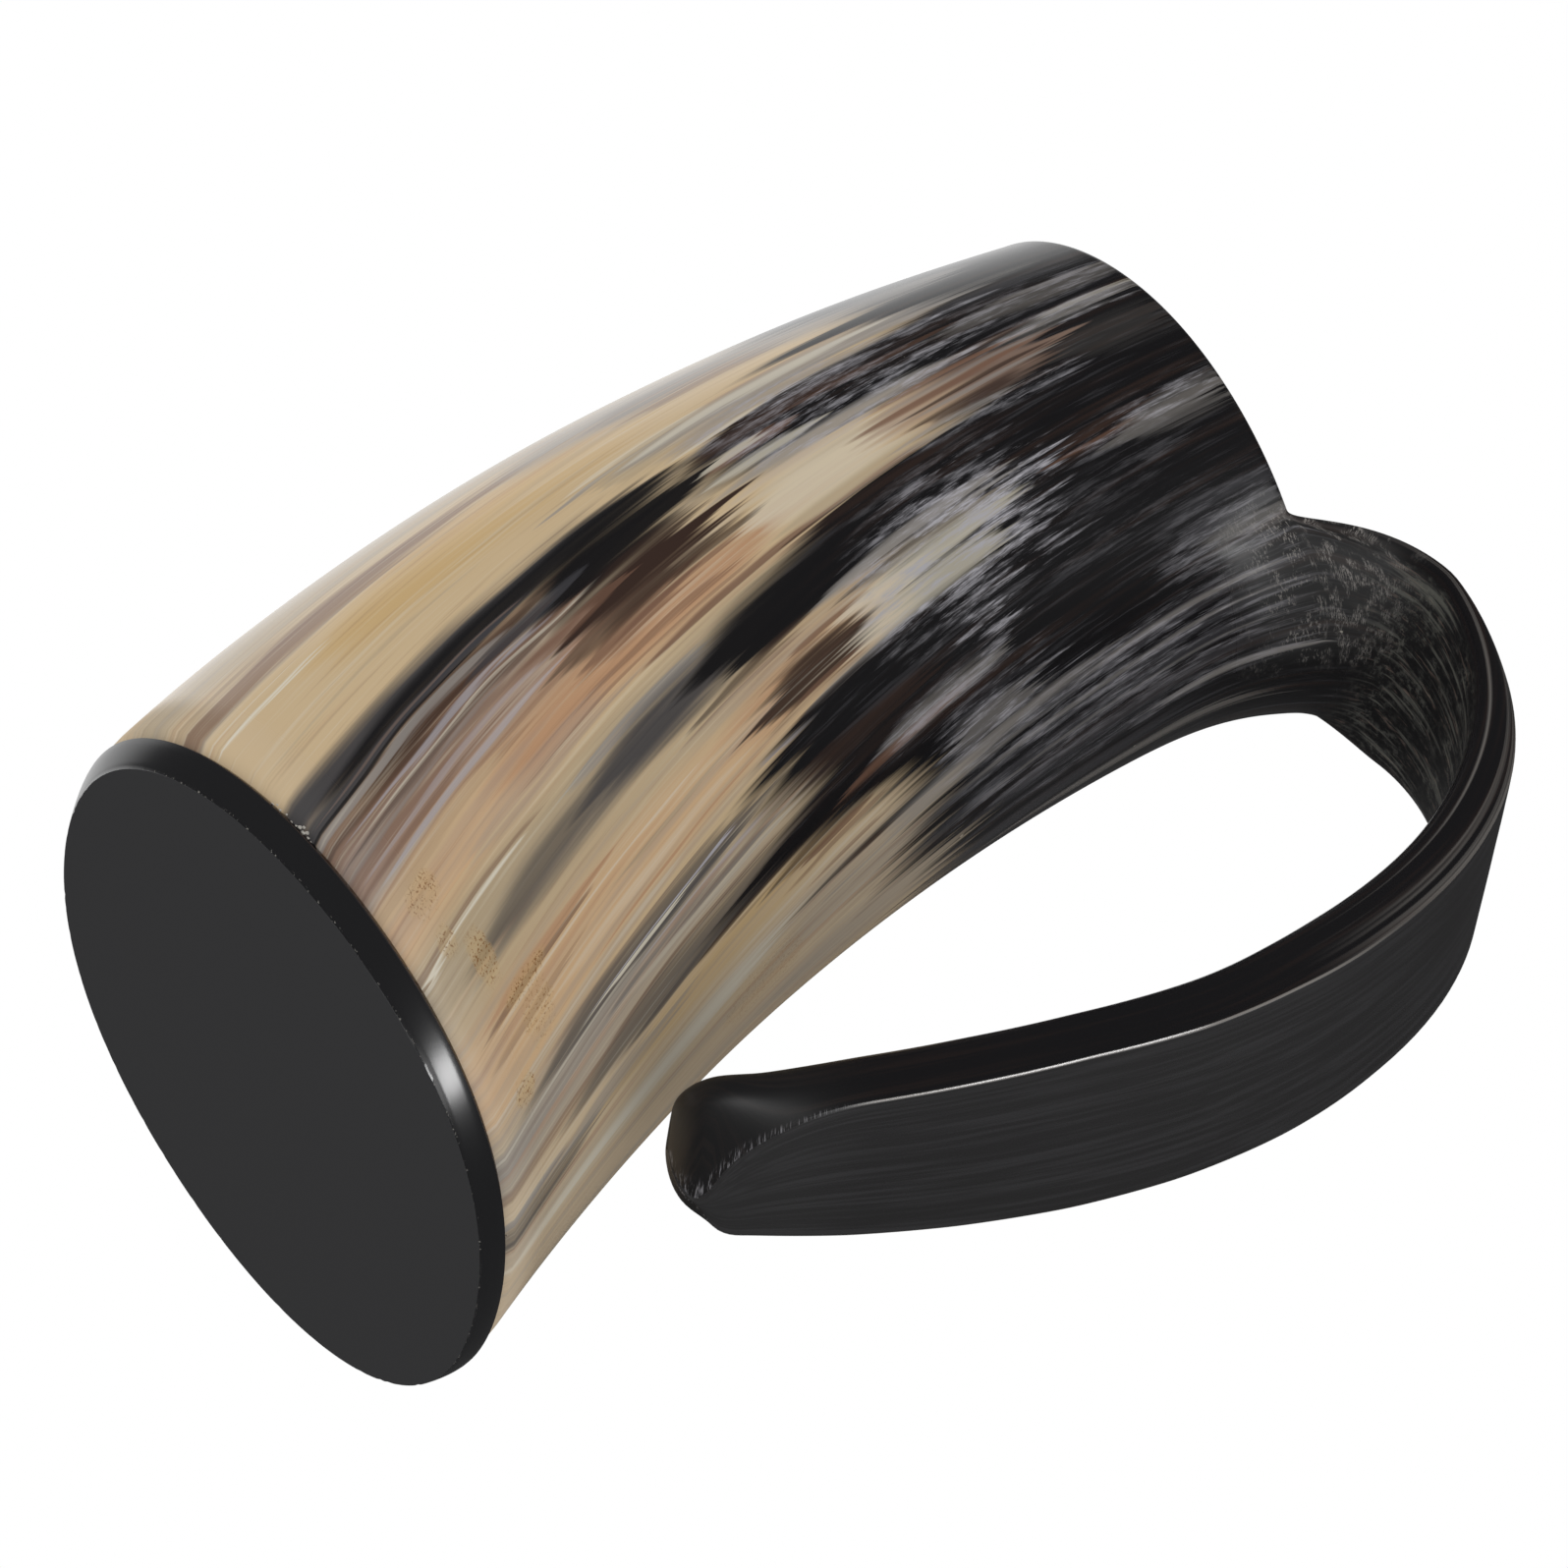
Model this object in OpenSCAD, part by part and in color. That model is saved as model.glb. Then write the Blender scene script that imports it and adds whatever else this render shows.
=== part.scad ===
/* [Horn cup] */
// Height of the rim above the table
rim_height = 154; // [142:1:168]
// Length of the base outline, from the back to the handle side
base_length = 88; // [82:1:96]
// Depth of the base outline, from side to side
base_depth = 87; // [80:1:94]
// Length of the mouth, from the back to the handle side
mouth_length = 71; // [65:1:78]
// Depth of the mouth, from side to side
mouth_depth = 69.5; // [64:0.5:76]
// How far the horn bows back from a straight line between base and mouth
cup_bow = 10.4; // [7:0.2:13]
// How far the middle of the mouth lies behind the middle of the base
mouth_back = 5.2; // [2:0.2:8]
// How far the middle of the mouth lies to the side of the middle of the base
mouth_aside = 4.2; // [0:0.2:7]
// How far the horn draws in at half height
waist_inset = 0.7; // [0:0.1:1.5]
// How much lower the rim is on the handle side than at its middle
rim_fall_front = 1.2; // [0:0.1:2.5]
// How much lower the rim is on the near side than at its middle
rim_fall_side = 2.4; // [0:0.1:3.5]
// Thickness of the horn wall at the base
wall_base = 5; // [4:0.1:6]
// Thickness of the horn wall at the mouth
wall_mouth = 2.6; // [2.2:0.1:3.2]

/* [Handle] */
// Distance from the cup's upright axis to the middle of the strip where it stands out furthest
handle_reach = 76.2; // [72:0.1:82]
// Rise of the middle of the strip above the rim, at the crown of the bend
crown_rise = 4.6; // [3.5:0.1:7]
// Run of the strip from the rim's outer face to the crown of the bend
crown_run = 11.5; // [9:0.5:14]
// Height of the furthest point of the strip above the table
reach_height = 113.5; // [106:0.5:120]
// Height of the lower end of the strip above the table
end_height = 37.5; // [32:0.5:44]
// Clear space between the lower end of the strip and the cup
end_gap = 11; // [8:0.5:15]
// Distance of the strip's middle plane from the cup's upright axis, to the near side
handle_aside = 5.4; // [3:0.1:8]
// Width of the strip where it leaves the rim
width_root = 34; // [30:0.5:37]
// Width of the strip at the crown of the bend
width_crown = 33; // [28:0.5:36]
// Width of the strip where it stands out furthest
width_reach = 29; // [25:0.5:31]
// Width of the strip at the middle of its lower run
width_low = 30; // [26:0.5:32]
// Width of the strip at its lower end
width_end = 26; // [22:0.5:29]
// Thickness of the strip at the crown of the bend
thick_crown = 3.8; // [3:0.1:5]
// Thickness of the strip where it stands out furthest
thick_reach = 8.8; // [7.5:0.1:9.5]
// Thickness of the strip at the middle of its lower run
thick_low = 8.4; // [7:0.1:9.5]
// Thickness of the strip at its lower end
thick_end = 9; // [7.5:0.1:10]
// Length of the rounded nose at the strip's lower end
nose_length = 8.5; // [6:0.5:10]

/* [Base] */
// Thickness of the plate that closes the wide end
disc_thick = 3.6; // [3:0.1:5]
// How far the plate's polished edge draws in towards the table
disc_taper = 1.8; // [1:0.1:2.4]
// Thickness of the glue film between the plate and the horn
glue_thick = 0.3; // [0.2:0.05:0.5]
// How far the glue film stays back from the outer face
glue_inset = 0.25; // [0.1:0.05:0.4]
// Height and depth of the sealing bead round the inside corner
seal_size = 3.2; // [2.5:0.1:4.5]
// Clear space between the sealing bead and the horn wall
seal_gap = 0.1; // [0.05:0.05:0.2]

/* [Hidden] */

// Points round every cup outline, and the steps from base to rim
ring_points = 72;
cup_steps = 20;
// Rings that round the lip
lip_steps = 4;
// Rings of the plate's polished edge
edge_steps = 5;
// Sections along each third of the handle's path, along its nose, and points round one section
path_steps = 13;
nose_steps = 6;
strip_points = 32;

// How much the base and the mouth are out of round, as two, three and four lobes
base_lobe_shares = [0.049, 0.010, 0.012];
base_lobe_turns = [74, 67, 58];
mouth_lobe_shares = [0.011, 0.016, 0.003];
mouth_lobe_turns = [79, 15, 0];

// The horn stands on the plate and the glue film
horn_foot = disc_thick + glue_thick;
foot_share = horn_foot / rim_height;
// The plate's matt face is a thin flat layer below its rounded edge
face_share = 0.12;
face_thick = disc_thick * face_share;
// How full the plate's rounded edge is, above 1 for a hollow one
edge_power = 1.6;

// The handle's root starts below the rim, in the wall
root_depth = 22;
root_foot = rim_height - root_depth;
// Handles of the three curves of the path, as shares of the run they control
root_rise_share = 0.69;
root_lean_share = 0.16;
crown_pull_share = 0.36;
reach_lift_share = 0.79;
reach_drop_share = 0.39;
end_lift_share = 0.20;
end_lean_share = 0.67;
// How far the strip's faces lie from its path at the root, as shares of its crown thickness
root_inner_shares = [0.10, 0.50, 0.95, 0.95, 0.50];
root_outer_shares = [0.38, 0.42, 0.46, 0.48, 0.50];
// The strip flares where it meets the rim, as a share of its root width
root_flare_share = 0.16;
// The strip is cut from the round wall, so it starts with the wall's curve and at its place
mouth_radius = (mouth_length + mouth_depth) / 4;
twist_root = -asin((handle_aside - mouth_aside) / mouth_radius);
// Turn of the strip about its path, from the crown to its end
twist_crown = -8;
twist_reach = 6.5;
twist_low = 8.5;
twist_end = 0;
// Squareness of the strip's corners: outer, inner, and inner at the root
outer_square = 6;
inner_square = 3.4;
root_square = 2;
// What is left of the width and of the inner half thickness at the tip of the nose
nose_width_share = 0.3;
nose_thick_share = 0.6;

function mix(a, b, s) = a + (b - a) * s;
function between(list, s) =
    let (n = len(list) - 1, i = min(floor(s * n), n - 1))
    mix(list[i], list[i + 1], s * n - i);
function swell(s) = 4 * s * (1 - s);
function bezier(p, s) =
    pow(1 - s, 3) * p[0] + 3 * pow(1 - s, 2) * s * p[1]
    + 3 * (1 - s) * s * s * p[2] + pow(s, 3) * p[3];
function bezier_way(p, s) =
    pow(1 - s, 2) * (p[1] - p[0]) + 2 * (1 - s) * s * (p[2] - p[1]) + s * s * (p[3] - p[2]);
function curl(width) = mouth_radius - sqrt(mouth_radius * mouth_radius - width * width / 4);
function power(v, e) = sign(v) * pow(abs(v), e);

// The horn's outer face: angle q round the cup, share s of the rim height, inset from the face
function lobes(shares, turns, q) =
    shares[0] * cos(2 * (q - turns[0])) + shares[1] * cos(3 * (q - turns[1]))
    + shares[2] * cos(4 * (q - turns[2]));
function half_length(s) = mix(base_length, mouth_length, s) / 2 - waist_inset * swell(s);
function half_depth(s) = mix(base_depth, mouth_depth, s) / 2 - waist_inset * swell(s);
function middle_x(s) = -mouth_back * s - cup_bow * swell(s);
function middle_y(s) = -mouth_aside * s;
function out_of_round(s, q) =
    1 + mix(lobes(base_lobe_shares, base_lobe_turns, q), lobes(mouth_lobe_shares, mouth_lobe_turns, q), s);
function face_x(s, q, inset) = (half_length(s) * out_of_round(s, q) - inset) * cos(q);
function face_y(s, q, inset) = (half_depth(s) * out_of_round(s, q) - inset) * sin(q);
function fall(level, q) =
    max(level - foot_share, 0) / (1 - foot_share) * (-rim_fall_front * cos(q) + rim_fall_side * sin(q));
function face_point(s, q, inset, level) =
    [middle_x(s) + face_x(s, q, inset), middle_y(s) + face_y(s, q, inset), level * rim_height + fall(level, q)];
function outline(s, inset) = [
    for (i = [0 : ring_points - 1]) let (p = face_point(s, i * 360 / ring_points, inset, s)) [p.x, p.y]];
function ring(s, inset, level) = [
    for (i = [0 : ring_points - 1]) face_point(s, i * 360 / ring_points, inset, level)];

// Closed solids from rings of points
module skin_of(rings, capped) {
    n = len(rings[0]);
    m = len(rings);
    sides = [
        for (j = [0 : capped ? m - 2 : m - 1], i = [0 : n - 1])
            let (a = j * n + i, b = j * n + (i + 1) % n, c = ((j + 1) % m) * n + i, d = ((j + 1) % m) * n + (i + 1) % n)
            each [[a, c, b], [b, c, d]]];
    ends = capped ? [[for (i = [0 : n - 1]) i], [for (i = [n - 1 : -1 : 0]) (m - 1) * n + i]] : [];
    polyhedron(points = [for (r = rings) each r], faces = concat(sides, ends), convexity = 6);
}

// Share of the rim height where the round of the lip starts
lip_share = 1 - wall_mouth / 2 / rim_height;
outer_rings = [for (j = [0 : cup_steps]) let (s = mix(foot_share, lip_share, j / cup_steps)) ring(s, 0, s)];
lip_outer = [
    for (j = [1 : lip_steps]) let (q = 90 * j / lip_steps, s = mix(lip_share, 1, sin(q)))
        ring(s, wall_mouth / 2 * (1 - cos(q)), s)];
lip_inner = [
    for (j = [lip_steps - 1 : -1 : 1]) let (q = 90 * j / lip_steps, s = mix(lip_share, 1, sin(q)))
        ring(s, wall_mouth / 2 * (1 + cos(q)), s)];
inner_rings = [
    for (j = [cup_steps : -1 : 0]) let (s = mix(foot_share, lip_share, j / cup_steps))
        ring(s, mix(wall_base, wall_mouth, j / cup_steps), s)];

module horn_cup() {
    color([0.56, 0.44, 0.33])
    skin_of(concat(outer_rings, lip_outer, lip_inner, inner_rings), false);
}

// The top of the cup as a filled form, which the handle's root is cut back to
module cup_top() {
    skin_of(concat([for (r = outer_rings) if (r[0].z > root_foot - root_depth / 2) r], lip_outer), true);
}

// The handle's path, in the upright plane through the strip's middle
root_share = root_foot / rim_height;
root_x = middle_x(root_share) + face_x(root_share, 0, wall_mouth / 2);
rim_x = middle_x(1) + face_x(1, 0, 0);
crown_x = rim_x + crown_run;
crown_z = rim_height + crown_rise;
end_share = end_height / rim_height;
end_x = middle_x(end_share) + face_x(end_share, 0, 0) + end_gap + thick_end / 2;
root_path = [
    [root_x, root_foot],
    [mix(root_x, crown_x, root_lean_share), mix(root_foot, crown_z, root_rise_share)],
    [mix(root_x, crown_x, root_lean_share), crown_z],
    [crown_x, crown_z]];
crown_path = [
    [crown_x, crown_z],
    [mix(crown_x, handle_reach, crown_pull_share), crown_z],
    [handle_reach, mix(reach_height, crown_z, reach_lift_share)],
    [handle_reach, reach_height]];
drop_path = [
    [handle_reach, reach_height],
    [handle_reach, mix(reach_height, end_height, reach_drop_share)],
    [mix(handle_reach, end_x, end_lean_share), mix(end_height, reach_height, end_lift_share)],
    [end_x, end_height]];

// One section across the strip: place and way of the path, width, faces, corners, curl and turn
function section(at, way, width, outer, inner, square_in, curl, turn) =
    let (w = way / norm(way), out = [-w.y, w.x])
    [for (i = [0 : strip_points - 1])
        let (
            q = i * 360 / strip_points,
            square = sin(q) > 0 ? outer_square : square_in,
            v = width / 2 * power(cos(q), 2 / square),
            h = (sin(q) > 0 ? outer : inner) * power(sin(q), 2 / square)
                + curl * pow(power(cos(q), 2 / square), 2),
            vt = v * cos(turn) - h * sin(turn),
            ht = v * sin(turn) + h * cos(turn))
        [at.x + out.x * ht, -handle_aside + vt, at.y + out.y * ht]];

root_sections = [
    for (j = [0 : path_steps - 1]) let (s = j / path_steps)
        let (width = mix(width_root, width_crown, s * s) * (1 + root_flare_share * pow(1 - s, 2)))
        section(bezier(root_path, s), bezier_way(root_path, s), width,
            thick_crown * between(root_outer_shares, s), thick_crown * between(root_inner_shares, s),
            mix(root_square, inner_square, s), curl(width) * (1 - s * s / 2), mix(twist_root, twist_crown, s))];
crown_sections = [
    for (j = [0 : path_steps - 1]) let (s = j / path_steps, t = mix(thick_crown, thick_reach, s))
        section(bezier(crown_path, s), bezier_way(crown_path, s), mix(width_crown, width_reach, s),
            t / 2, t / 2, inner_square, curl(width_crown) / 2 * pow(1 - s, 2), mix(twist_crown, twist_reach, s))];
drop_sections = [
    for (j = [0 : path_steps]) let (s = j / path_steps, t = between([thick_reach, thick_low, thick_end], s))
        section(bezier(drop_path, s), bezier_way(drop_path, s),
            between([width_reach, width_low, width_end], s), t / 2, t / 2, inner_square, 0,
            between([twist_reach, twist_low, twist_end], s))];
end_way = bezier_way(drop_path, 1) / norm(bezier_way(drop_path, 1));
nose_sections = [
    for (j = [1 : nose_steps]) let (q = 90 * j / nose_steps)
        section(drop_path[3] + end_way * nose_length * sin(q), end_way,
            width_end * mix(nose_width_share, 1, cos(q)), thick_end / 2 * cos(q),
            thick_end / 2 * mix(nose_thick_share, 1, cos(q)), inner_square, 0, twist_end)];

module horn_handle() {
    color([0.10, 0.09, 0.09])
    difference() {
        skin_of(concat(root_sections, crown_sections, drop_sections, nose_sections), true);
        cup_top();
    }
}

// The plate's rounded edge stands on its flat matt face
module base_plate() {
    color([0.06, 0.06, 0.065]) {
        linear_extrude(height = face_thick)
            polygon(outline(0, disc_taper));
        skin_of([
            for (j = [0 : edge_steps])
                let (level = mix(face_thick, disc_thick, j / edge_steps), s = level / rim_height)
                ring_at(s, disc_taper * pow(1 - level / disc_thick, edge_power), level)], true);
    }
}
function ring_at(s, inset, height) = [for (p = outline(s, inset)) [p.x, p.y, height]];

module glue_film() {
    color([0.55, 0.50, 0.42])
    translate([0, 0, disc_thick])
    linear_extrude(height = glue_thick)
        difference() {
            polygon(outline(foot_share, glue_inset));
            polygon(outline(foot_share, wall_base));
        }
}

// Hollow-faced bead in the corner between the plate and the horn's inner wall
seal_back = seal_gap + wall_base;
module sealing_bead() {
    color([0.70, 0.62, 0.45])
    skin_of(concat(
        [ring_at(foot_share, seal_back, disc_thick)],
        [ring_at((disc_thick + seal_size) / rim_height, seal_back, disc_thick + seal_size)],
        [for (q = [15 : 15 : 75]) ring_at((disc_thick + seal_size * (1 - sin(q))) / rim_height,
            seal_back + seal_size * (1 - cos(q)), disc_thick + seal_size * (1 - sin(q)))],
        [ring_at(foot_share, seal_back + seal_size, disc_thick)]), false);
}

horn_cup();
horn_handle();
base_plate();
glue_film();
sealing_bead();
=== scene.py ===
import math
import random
from types import SimpleNamespace

import bmesh
import bpy
import numpy as np
from bpy.props import FloatProperty, FloatVectorProperty, PointerProperty
from mathutils import Matrix, Vector, noise


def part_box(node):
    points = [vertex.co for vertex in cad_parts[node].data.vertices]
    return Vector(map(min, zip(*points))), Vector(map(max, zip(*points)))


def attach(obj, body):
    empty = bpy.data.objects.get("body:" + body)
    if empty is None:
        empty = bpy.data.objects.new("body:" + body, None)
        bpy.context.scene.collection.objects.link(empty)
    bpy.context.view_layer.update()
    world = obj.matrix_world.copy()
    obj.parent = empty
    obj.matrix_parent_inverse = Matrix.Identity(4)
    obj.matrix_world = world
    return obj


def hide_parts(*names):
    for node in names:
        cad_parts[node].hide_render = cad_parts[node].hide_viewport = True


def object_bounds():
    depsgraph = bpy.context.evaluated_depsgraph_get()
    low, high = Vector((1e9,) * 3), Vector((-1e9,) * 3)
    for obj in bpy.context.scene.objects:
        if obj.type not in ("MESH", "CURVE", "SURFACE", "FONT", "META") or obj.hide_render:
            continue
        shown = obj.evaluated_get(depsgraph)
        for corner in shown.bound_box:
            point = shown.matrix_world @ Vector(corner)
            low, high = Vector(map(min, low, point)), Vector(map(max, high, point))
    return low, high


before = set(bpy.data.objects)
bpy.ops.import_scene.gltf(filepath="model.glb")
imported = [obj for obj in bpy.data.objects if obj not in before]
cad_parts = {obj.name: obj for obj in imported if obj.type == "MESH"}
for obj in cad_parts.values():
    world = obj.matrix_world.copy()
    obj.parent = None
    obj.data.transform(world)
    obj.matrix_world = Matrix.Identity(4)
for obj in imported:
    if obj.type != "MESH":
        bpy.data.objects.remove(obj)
CAD_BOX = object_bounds()
CUP_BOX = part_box("horn_cup")
PLATE_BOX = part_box("base_plate")
GLUE_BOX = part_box("glue_film")
BEAD_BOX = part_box("sealing_bead")

bl_info = {
    "name": "Horn drinking cup",
    "version": (1, 0, 0),
    "blender": (4, 5, 0),
    "location": "View3D > Sidebar > Horn cup",
    "description": "Bowed horn cup with a handle bent from the same horn and a black base plate",
    "category": "Add Mesh",
}

MM = 0.001


def length(name, text, value):
    """A size in metres, as a property."""
    return FloatProperty(name=name, description=text, default=value, unit="LENGTH", precision=5)


def share(name, text, value):
    """A plain number, as a property."""
    return FloatProperty(name=name, description=text, default=value, precision=3)


def angle(name, text, degrees):
    """An angle, as a property."""
    return FloatProperty(name=name, description=text, default=math.radians(degrees), subtype="ANGLE")


def colour(name, text, value):
    """A colour, as a property."""
    return FloatVectorProperty(name=name, description=text, default=value, size=3, min=0, max=1, subtype="COLOR")


class CupSizes(bpy.types.PropertyGroup):
    """Sizes of the horn wall."""

    rim_height: length("Rim height", "Height of the rim above the table", 0.154)
    foot: length("Foot", "Height at which the horn starts, on top of the glue", GLUE_BOX[1].z)
    base_length: length("Base length", "Length of the base outline", 0.088)
    base_depth: length("Base depth", "Depth of the base outline", 0.087)
    mouth_length: length("Mouth length", "Length of the mouth", 0.071)
    mouth_depth: length("Mouth depth", "Depth of the mouth", 0.0695)
    bow: length("Bow", "How far the horn bows back", 0.0104)
    mouth_back: length("Mouth back", "How far the mouth lies behind the base", 0.0052)
    mouth_aside: length("Mouth aside", "How far the mouth lies to the near side", 0.0042)
    waist: length("Waist", "How far the horn draws in at half height", 0.0007)
    fall_front: length("Fall to the front", "How much lower the rim is on the handle side", 0.0012)
    fall_side: length("Fall to the side", "How much lower the rim is on the near side", 0.0024)
    wall_base: length("Wall at the base", "Thickness of the wall at the base", 0.005)
    wall_mouth: length("Wall at the mouth", "Thickness of the wall at the mouth", 0.0026)


class HandleSizes(bpy.types.PropertyGroup):
    """Sizes of the strip that is bent over into the handle."""

    reach: length("Reach", "Distance from the upright axis to the middle of the strip", 0.07628)
    crown_rise: length("Crown rise", "Rise of the strip above the rim", 0.0046)
    crown_run: length("Crown run", "Run of the strip from the rim to the crown", 0.0115)
    reach_height: length("Reach height", "Height at which the strip stands out furthest", 0.1137)
    end_height: length("End height", "Height of the lower end", 0.0375)
    end_gap: length("End gap", "Clear space between the lower end and the cup", 0.0116)
    aside: length("Aside", "Distance of the strip's middle plane from the axis", 0.0054)
    width_root: length("Width at the rim", "Width of the strip at the rim", 0.034)
    width_crown: length("Width at the crown", "Width of the strip at the crown", 0.033)
    crown_far: length("Far side at the crown", "How much further the strip stands out on the far side there", 0.0046)
    width_reach: length("Width at the reach", "Width where the strip stands out furthest", 0.0286)
    width_turn: length("Width below the reach", "Width where the strip turns back to the cup", 0.0301)
    width_low: length("Width low", "Width along the lower run", 0.0298)
    width_end: length("Width at the end", "Width at the lower end", 0.026)
    thick_crown: length("Thickness at the crown", "Thickness at the crown", 0.0038)
    thick_reach: length("Thickness at the reach", "Thickness where it stands out furthest", 0.0073)
    thick_turn: length("Thickness below the reach", "Thickness where the strip turns back to the cup", 0.0096)
    thick_low: length("Thickness low", "Thickness along the lower run", 0.0095)
    thick_end: length("Thickness at the end", "Thickness at the lower end", 0.0093)
    nose: length("Nose", "Length of the rounded nose", 0.0102)


class BaseSizes(bpy.types.PropertyGroup):
    """Sizes of the base plate, the glue and the sealing bead."""

    thick: length("Plate thickness", "Thickness of the base plate", PLATE_BOX[1].z)
    taper: length("Edge taper", "How far the polished edge draws in towards the table", 0.0018)
    power: share("Edge fullness", "How full the polished edge is", 1.3)
    chip: length("Chip depth", "Depth of the nicks along the crisp edge", 0.00022)
    glue_inset: length("Glue inset", "How far the glue stays back from the outer face", 0.00025)
    crumb: length("Crumb size", "Radius of a crumb of dried glue", 0.00028)
    seal: length("Bead size", "Height and depth of the sealing bead", BEAD_BOX[1].z - BEAD_BOX[0].z)
    seal_gap: length("Bead gap", "Clear space between the bead and the wall", 0.0001)


class HornColours(bpy.types.PropertyGroup):
    """Tones of the horn, the plate and the glue."""

    cream: colour("Cream", "Pale horn near the base", (0.55, 0.415, 0.25))
    peach: colour("Peach", "Warmer pale horn", (0.58, 0.38, 0.215))
    honey: colour("Honey", "Yellow bands", (0.53, 0.36, 0.16))
    tan: colour("Tan", "Duller horn on the handle side", (0.40, 0.315, 0.205))
    sand: colour("Sand", "Pale horn beside the handle", (0.56, 0.44, 0.295))
    bone: colour("Bone", "Whitish patches and fibres", (0.64, 0.59, 0.48))
    rust: colour("Rust", "Orange-brown bands", (0.40, 0.205, 0.11))
    dusk: colour("Dusk", "Pinkish grey-brown bands", (0.30, 0.20, 0.15))
    brown: colour("Brown", "Brown streaks", (0.17, 0.090, 0.058))
    umber: colour("Umber", "Brown that is nearly black", (0.040, 0.022, 0.016))
    smoke: colour("Smoke", "Grey translucent bands", (0.27, 0.25, 0.23))
    lilac: colour("Lilac", "Cool whitish flecks", (0.40, 0.39, 0.42))
    craze: colour("Craze", "Fine pale net inside the bend", (0.105, 0.105, 0.088))
    slate: colour("Slate", "Dark blue-grey bands", (0.048, 0.047, 0.052))
    ochre: colour("Ochre", "Small rusty specks", (0.20, 0.085, 0.025))
    black: colour("Black", "Black horn", (0.0075, 0.007, 0.008))
    satin: colour("Satin black", "Sanded outer face of the handle", (0.017, 0.016, 0.017))
    plate: colour("Plate", "Black base plate", (0.012, 0.012, 0.013))
    matt: colour("Matt plate", "Ground underside of the plate", (0.035, 0.035, 0.037))
    glue: colour("Glue", "Dried glue", (0.42, 0.40, 0.36))
    resin: colour("Resin", "Amber sealing resin", (0.42, 0.26, 0.10))


class StageSettings(bpy.types.PropertyGroup):
    """Camera, lamps and floor."""

    azimuth: angle("Azimuth", "Direction of the camera round the cup", 27.6065)
    elevation: angle("Elevation", "Height of the camera above the table plane", -29.1819)
    roll: angle("Roll", "Turn of the picture about the camera's axis", 57.2761)
    distance: length("Distance", "Distance from the camera to its target", 0.688476)
    target: FloatVectorProperty(
        name="Target", description="Point at the middle of the picture", size=3, unit="LENGTH",
        default=(0.028587, -0.047062, 0.0528))
    lens: FloatProperty(name="Lens", description="Focal length on a 36 mm sensor", default=133.155, unit="CAMERA")
    fill: share("Fill", "Strength of the even light from all round", 0.88)


def values(group):
    """A plain copy of a property group, which is quicker to read."""
    return SimpleNamespace(**{
        key: getattr(group, key) if isinstance(getattr(group, key), float) else tuple(getattr(group, key))
        for key in group.__annotations__})


def mix(a, b, s):
    return a + (b - a) * s


def swell(s):
    return 4 * s * (1 - s)


def smooth(s):
    s = np.clip(s, 0, 1)
    return s * s * (3 - 2 * s)


def between(values_along, s):
    """Straight interpolation along a list of equally spaced values."""
    place = s * (len(values_along) - 1)
    i = min(int(place), len(values_along) - 2)
    return mix(values_along[i], values_along[i + 1], place - i)


# The horn wall: how much base and mouth are out of round, as two, three and four lobes
BASE_LOBES = ((0.049, 74), (0.010, 67), (0.012, 58))
MOUTH_LOBES = ((0.011, 79), (0.016, 15), (0.003, 0))


def lobes(shares, q):
    return sum(k * np.cos((n + 2) * (q - math.radians(turn))) for n, (k, turn) in enumerate(shares))


def wall_points(cup, s, q, inset=0.0, level=None):
    """Points on the horn's face at share s of its height, at the angles q, set in from the outer face."""
    level = s if level is None else level
    round_share = 1 + mix(lobes(BASE_LOBES, q), lobes(MOUTH_LOBES, q), s)
    half_x = mix(cup.base_length, cup.mouth_length, s) / 2 - cup.waist * swell(s)
    half_y = mix(cup.base_depth, cup.mouth_depth, s) / 2 - cup.waist * swell(s)
    foot = cup.foot / cup.rim_height
    fall = max(level - foot, 0) / (1 - foot) * (cup.fall_side * np.sin(q) - cup.fall_front * np.cos(q))
    return np.stack([
        -cup.mouth_back * s - cup.bow * swell(s) + (half_x * round_share - inset) * np.cos(q),
        -cup.mouth_aside * s + (half_y * round_share - inset) * np.sin(q),
        level * cup.rim_height + fall], axis=-1)


# Rows and columns of the horn's mesh
COLUMNS = 160
WALL_ROWS = 56
LIP_ROWS = 10
INNER_ROWS = 24
HALF_SECTOR = 15
SECTOR = 2 * HALF_SECTOR
STRANDS = 2 * SECTOR + 2 * LIP_ROWS
STRIP_TURN = HALF_SECTOR * 2 * math.pi / COLUMNS
# The strip's swelling root on the outer wall
ROOT_DROP = 0.023
ROOT_SWELL = 0.0040
ROOT_SWELL_POWER = 3.0
ROOT_SQUARES = (2.8, 3.0)
# Depth of the hand-scraped waves in the wall
SCRAPE = 0.00012
SCRAPE_WAVE = 0.013


def mouth_radius(cup):
    return (cup.mouth_length + cup.mouth_depth) / 4


def strip_middle(cup, strip):
    """Angle of the strip's middle line at the rim."""
    return -math.asin((strip.aside - cup.mouth_aside) / mouth_radius(cup))


def column_angles(cup, strip):
    """Angles of the columns, the strip's middle first."""
    return strip_middle(cup, strip) + np.arange(COLUMNS) * 2 * math.pi / COLUMNS


def lip_share(cup):
    return 1 - cup.wall_mouth / 2 / cup.rim_height


def root_swell(cup, strip, q, s):
    """How far the outer wall stands out below the strip."""
    top = lip_share(cup)
    rise = np.clip(1 - (top - s) * cup.rim_height / ROOT_DROP, 0, 1) ** ROOT_SWELL_POWER
    aside = (q - strip_middle(cup, strip) + math.pi) % (2 * math.pi) - math.pi
    across = np.clip(np.abs(aside) / STRIP_TURN, 0, 1)
    square = np.where(aside < 0, *ROOT_SQUARES)
    return ROOT_SWELL * rise * (1 - across ** square) ** (1 / square)


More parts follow.
